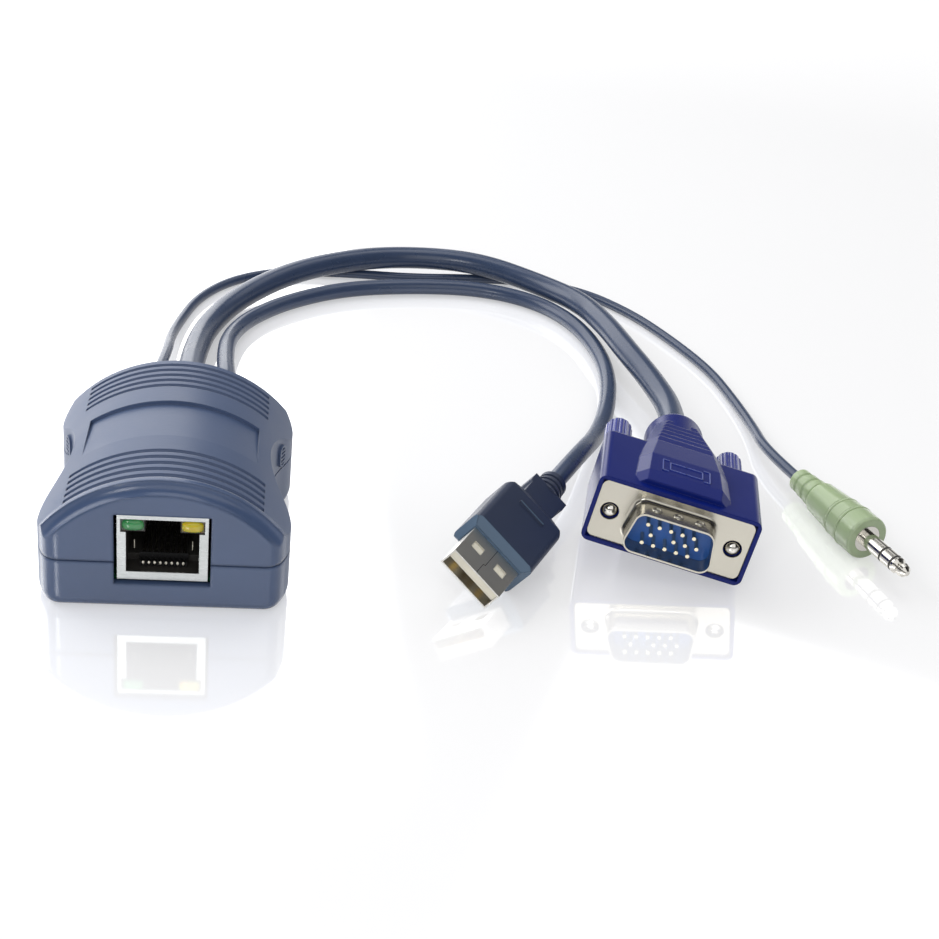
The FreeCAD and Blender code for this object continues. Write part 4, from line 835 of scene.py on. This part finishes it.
@dataclass
class NetworkJack:
    """The eight-way jack in the case's front, with a lamp over each corner of its mouth.

    front is the jack's face along Y and floor the mouth's lowest face. A setback is measured from
    the front, toward +Y, and each lens is given as a span along X from the middle and a span of Z.
    """

    finishes: Finishes
    nodes: Mapping[str, bpy.types.Object]
    front: float = -24.9
    floor: float = 7.8
    contact_count: int = 8
    contact_pitch: float = 1.02
    tip_radii: Triple = (0.25, 0.16, 0.37)
    tip_setback: float = 1.7
    tip_lift: float = 0.95
    shelf_setback: float = 3.8
    base_gap: float = 0.4
    base_drop: float = 0.3
    rib_gap: float = 0.1
    rib_half_width: float = 0.14
    rib_rise: float = 0.2
    shade_curtain_overhang: float = 0.3
    shade_curtain_depth: Span = (0.35, 0.15)
    shade_curtain_top: float = 9.8
    spring_x: float = 5.15
    spring_half_width: float = 0.09
    spring_setback: Span = (2.2, 2.5)
    spring_z: Span = (11.4, 13.2)
    lens_x: Span = (3.32, 7.13)
    lens_z: Span = (16.48, 18.7)
    lens_setback: float = 0.18
    lens_bulge: float = 0.7
    lens_squareness: float = 3.0

    def contacts(self) -> None:
        """Adds the contact springs' tips in a painted highlight, the comb that parts them, and a dark
        curtain behind them that is painted shade.
        """
        tip_y, shelf_y = self.front + self.tip_setback, self.front + self.shelf_setback
        tip_z = self.floor + self.tip_lift
        reach = self.contact_pitch * self.contact_count / 2
        tips, comb = Workpiece(), Workpiece()
        comb.block((-reach, tip_y + self.base_gap, self.floor), (reach, shelf_y, tip_z - self.base_drop))
        # a dark curtain across the mouth behind the tips is painted shade: it hides the springs' bright
        # fronts
        wide = reach + self.shade_curtain_overhang
        comb.block((-wide, shelf_y - self.shade_curtain_depth[0], self.floor),
                   (wide, shelf_y - self.shade_curtain_depth[1], self.shade_curtain_top))
        for i in range(self.contact_count):
            x = (i - (self.contact_count - 1) / 2) * self.contact_pitch
            tips.bead((x, tip_y, tip_z), self.tip_radii)
        for i in range(self.contact_count + 1):
            x = (i - self.contact_count / 2) * self.contact_pitch
            comb.block((x - self.rib_half_width, tip_y + self.rib_gap, self.floor),
                       (x + self.rib_half_width, shelf_y, tip_z + self.rib_rise))
        tips.finish("contact_tips", self.finishes.get(Finishes.CONTACT_TIP_PAINTED_HIGHLIGHT), "gold")
        comb.finish("contact_comb_and_shade_curtain", self.finishes.get(Finishes.EPOXY_BLACK), "black_plastic")

    def side_springs(self) -> None:
        """Adds the shield's two springs on the mouth's side walls."""
        springs = Workpiece()
        for side in (-1, 1):
            x = side * self.spring_x
            springs.block(
                (x - self.spring_half_width, self.front + self.spring_setback[0], self.spring_z[0]),
                (x + self.spring_half_width, self.front + self.spring_setback[1], self.spring_z[1]))
        springs.finish("side_springs", self.finishes.get(Finishes.CONTACT), "tin")

    def lamp_fronts(self) -> None:
        """Adds the domed front of each lamp, paler than the lens block behind it, whose darker copy of the
        colour is painted shade.
        """
        rim = self.front + self.lens_setback
        for side, name, coat, slot in (
                (-1, "green_lamp_front", Finishes.LENS_GREEN, "green_lens"),
                (1, "yellow_lamp_front", Finishes.LENS_YELLOW, "yellow_lens")):
            low, high = sorted(side * x for x in self.lens_x)
            dome = Workpiece().pillow((low, rim, self.lens_z[0]), (high, rim, self.lens_z[1]),
                                      self.lens_bulge, self.lens_squareness)
            dome.finish(name, self.finishes.get(coat), slot, 60.0)

    def build(self) -> None:
        """Dresses the jack and adds its contact tips, comb, side springs and domed lamp fronts."""
        self.finishes.dress(self.nodes, {
            "jack_shield": Finishes.TIN, "jack_insulator": Finishes.NYLON_BLACK,
            "jack_contacts": Finishes.CONTACT, "led_green": Finishes.LENS_GREEN_PAINTED_SHADE,
            "led_yellow": Finishes.LENS_YELLOW_PAINTED_SHADE})
        self.contacts()
        self.side_springs()
        self.lamp_fronts()


@dataclass
class VideoPlug:
    """The fifteen-way plug: moulded hood, D shell, insert, pins and two thumbscrews.

    Each of the emblem's outlines is its reach from the middle line, its length along the plug and
    how far its end lines run back toward the middle.
    """

    finishes: Finishes
    nodes: Mapping[str, bpy.types.Object]
    pose: Pose = VIDEO_POSE
    spine_top: float = 9.2
    emblem_middle: float = 8.4
    emblem_outlines: tuple[Triple, ...] = ((4.8, 5.2, 1.1), (3.3, 3.4, 3.3))
    line_width: float = 0.24
    line_height: float = 0.14
    line_root: float = 0.3
    shell_top: float = 4.4
    dimple_x: tuple[float, ...] = (-4.2, 0.1, 4.4)
    dimple_y: float = -3.1
    dimple_radii: Triple = (0.7, 0.6, 0.14)
    lip_radius: float = 0.9
    lip_tube: float = 0.2
    lip_facets: int = 40

    def bar(self, work: Workpiece, x: float, y: float, length: float, across: bool) -> None:
        """Adds one raised line of the emblem.

        Args:
            work: the emblem so far.
            x: the line's start along X.
            y: its start along Y.
            length: how far it runs.
            across: true where it runs along X, and false along Y.
        """
        half = self.line_width / 2
        low = (x - half, y - half, self.spine_top - self.line_root)
        far = (x + length + half, y + half) if across else (x + half, y + length + half)
        work.block(low, (*far, self.spine_top + self.line_height))

    def emblem(self) -> bpy.types.Object:
        """A plain moulded device: a rectangle between two square brackets."""
        work = Workpiece(self.pose.matrix())
        for side in (-1, 1):
            for reach, height, stub in self.emblem_outlines:
                low = self.emblem_middle - height / 2
                start = side * reach if side < 0 else side * reach - stub
                self.bar(work, side * reach, low, height, False)
                for y in (low, low + height):
                    self.bar(work, start, y, stub, True)
        # the emblem's paler finish is a painted highlight
        return work.finish("hood_emblem", self.finishes.get(Finishes.EMBLEM_PAINTED_HIGHLIGHT), "hood")

    def dimples(self) -> bpy.types.Object:
        """Three pressed dimples on the upper side of the D shell, each with its raised lip."""
        work = Workpiece(self.pose.matrix())
        for x in self.dimple_x:
            middle = (x, self.dimple_y, self.shell_top)
            work.hoop(middle, "Z", self.lip_radius, self.lip_tube, self.lip_facets)
            work.bead(middle, self.dimple_radii)
        return work.finish("shell_dimples", self.finishes.get(Finishes.NICKEL), "nickel", 60.0)

    def build(self) -> list[bpy.types.Object]:
        """Dresses the plug and adds its fine pieces, which it returns."""
        self.finishes.dress(self.nodes, {
            "vga_hood": Finishes.HOOD, "vga_faceplate": Finishes.NICKEL, "vga_insert": Finishes.PBT,
            "vga_pins": Finishes.PIN, "left_thumb_knob": Finishes.KNOB, "right_thumb_knob": Finishes.KNOB,
            "left_thumb_screw": Finishes.NICKEL_TURNED, "right_thumb_screw": Finishes.NICKEL_TURNED})
        return [self.emblem(), self.dimples()]


@dataclass
class DataPlug:
    """The flat plug: folded shell, tongue with four strips, and a stepped over-moulding.

    The nose is the over-moulding's skin in front of nose_end, where it faces the shell's mouth or
    slopes toward it. ridge is the finger ridge's width, its place along Y and its height.
    """

    finishes: Finishes
    nodes: Mapping[str, bpy.types.Object]
    pose: Pose = DATA_POSE
    shell_top: float = 2.25
    shell_reach: float = 8.8
    seam_start: float = 0.05
    seam_width: float = 0.1
    seam_root: float = 0.1
    seam_rise: float = 0.012
    seam_jog: float = 0.45
    seam_jog_share: float = 0.36
    nose_end: float = 10.35
    nose_slope: float = -0.3
    nose_lift: float = 0.02
    nose_skin: float = 0.03
    ridge: Triple = (6.4, 21.9, 4.7)
    crest_half_depth: float = 0.14
    crest_root: float = 0.2
    crest_rise: float = 0.04

    def seam(self) -> bpy.types.Object:
        """The dark joint where the folded shell meets itself, with its dovetail's jog."""
        half, jog = self.seam_width / 2, self.seam_jog / 2
        root, crown = self.shell_top - self.seam_root, self.shell_top + self.seam_rise
        step = self.seam_jog_share * self.shell_reach
        work = Workpiece(self.pose.matrix())
        for x, start, end in ((-jog, self.seam_start, step), (jog, step, self.shell_reach)):
            work.block((x - half, start, root), (x + half, end, crown))
        work.block((-jog, step - half, root), (jog, step + half, crown))
        return work.finish("shell_seam", self.finishes.get(Finishes.EPOXY_BLACK), "black_plastic")

    def nose(self) -> bpy.types.Object:
        """The over-moulding's front face and bevel as a skin of their own, in the paler finish of painted
        highlight.
        """
        back = self.pose.matrix().inverted()
        skin = bmesh.new()
        skin.from_mesh(self.nodes["usb_overmold"].data)
        far = [f for f in skin.faces
               if max((back @ v.co).y for v in f.verts) > self.nose_end * MM
               or (back.to_3x3() @ f.normal).y > self.nose_slope]
        bmesh.ops.delete(skin, geom=far, context="FACES")
        for vertex in skin.verts:
            vertex.co += vertex.normal * self.nose_lift * MM
        bmesh.ops.solidify(skin, geom=skin.faces[:], thickness=self.nose_skin * MM)
        data = bpy.data.meshes.new("mould_nose")
        skin.to_mesh(data)
        skin.free()
        data.materials.clear()
        data.materials.append(self.finishes.get(Finishes.DATA_PAINTED_HIGHLIGHT))
        obj = bpy.data.objects.new("mould_nose", data)
        bpy.context.scene.collection.objects.link(obj)
        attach(obj, MODULE)
        LOG.info("mould_nose: %d faces", len(data.polygons))
        return obj

    def ridge_cap(self) -> bpy.types.Object:
        """The finger ridge's crest, painted paler as a painted highlight."""
        width, y, z = self.ridge
        work = Workpiece(self.pose.matrix())
        work.block((-width / 2, y - self.crest_half_depth, z - self.crest_root),
                   (width / 2, y + self.crest_half_depth, z + self.crest_rise))
        return work.finish("finger_ridge_crest", self.finishes.get(Finishes.DATA_PAINTED_HIGHLIGHT), "usb_plastic")

    def build(self) -> list[bpy.types.Object]:
        """Dresses the plug and adds its fine pieces, which it returns."""
        self.finishes.dress(self.nodes, {
            "usb_shell": Finishes.NICKEL_BRUSHED, "usb_tongue": Finishes.NYLON_WHITE,
            "usb_contacts": Finishes.GOLD, "usb_overmold": Finishes.DATA_MOULD})
        return [self.seam(), self.nose(), self.ridge_cap()]


@dataclass
class SoundPlug:
    """The three-pole plug: turned pin in a pale over-moulding with raised hoops.

    Each hoop is its place along Y, the radius to its bead's middle and the bead's own radius.
    """

    finishes: Finishes
    nodes: Mapping[str, bpy.types.Object]
    pose: Pose = SOUND_POSE
    hoops: tuple[Triple, ...] = ((0.45, 4.28, 0.46), (5.15, 4.48, 0.36), (9.15, 4.18, 0.36))

    def build(self) -> list[bpy.types.Object]:
        """Dresses the plug and adds the raised hoops of its body, which it returns."""
        self.finishes.dress(self.nodes, {
            "audio_overmold": Finishes.SOUND_MOULD, "audio_sleeve": Finishes.NICKEL_TURNED,
            "audio_ring": Finishes.NICKEL_TURNED, "audio_tip": Finishes.NICKEL_TURNED,
            "audio_insulators": Finishes.NYLON_BLACK})
        work = Workpiece(self.pose.matrix())
        for y, radius, tube in self.hoops:
            work.hoop((0.0, y, 0.0), "Y", radius, tube)
        return [work.finish("body_hoops", self.finishes.get(Finishes.SOUND_MOULD), "audio_plastic",
                            60.0)]


def main() -> None:
    """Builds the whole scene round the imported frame."""
    logging.basicConfig(level=logging.INFO, format="%(name)s %(message)s")
    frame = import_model()
    nodes = frame["nodes"]
    bpy.context.scene.view_settings.view_transform = "Standard"
    finishes = Finishes()
    Viewpoint().place()
    Studio().place()
    Case(finishes, nodes).build()
    NetworkJack(finishes, nodes).build()
    jacket = finishes.get(Finishes.JACKET)
    VIDEO_CABLE.lay(jacket, VideoPlug(finishes, nodes).build())
    DATA_CABLE.lay(jacket, DataPlug(finishes, nodes).build())
    SOUND_CABLE.lay(jacket, SoundPlug(finishes, nodes).build())


if __name__ == "__main__":
    main()
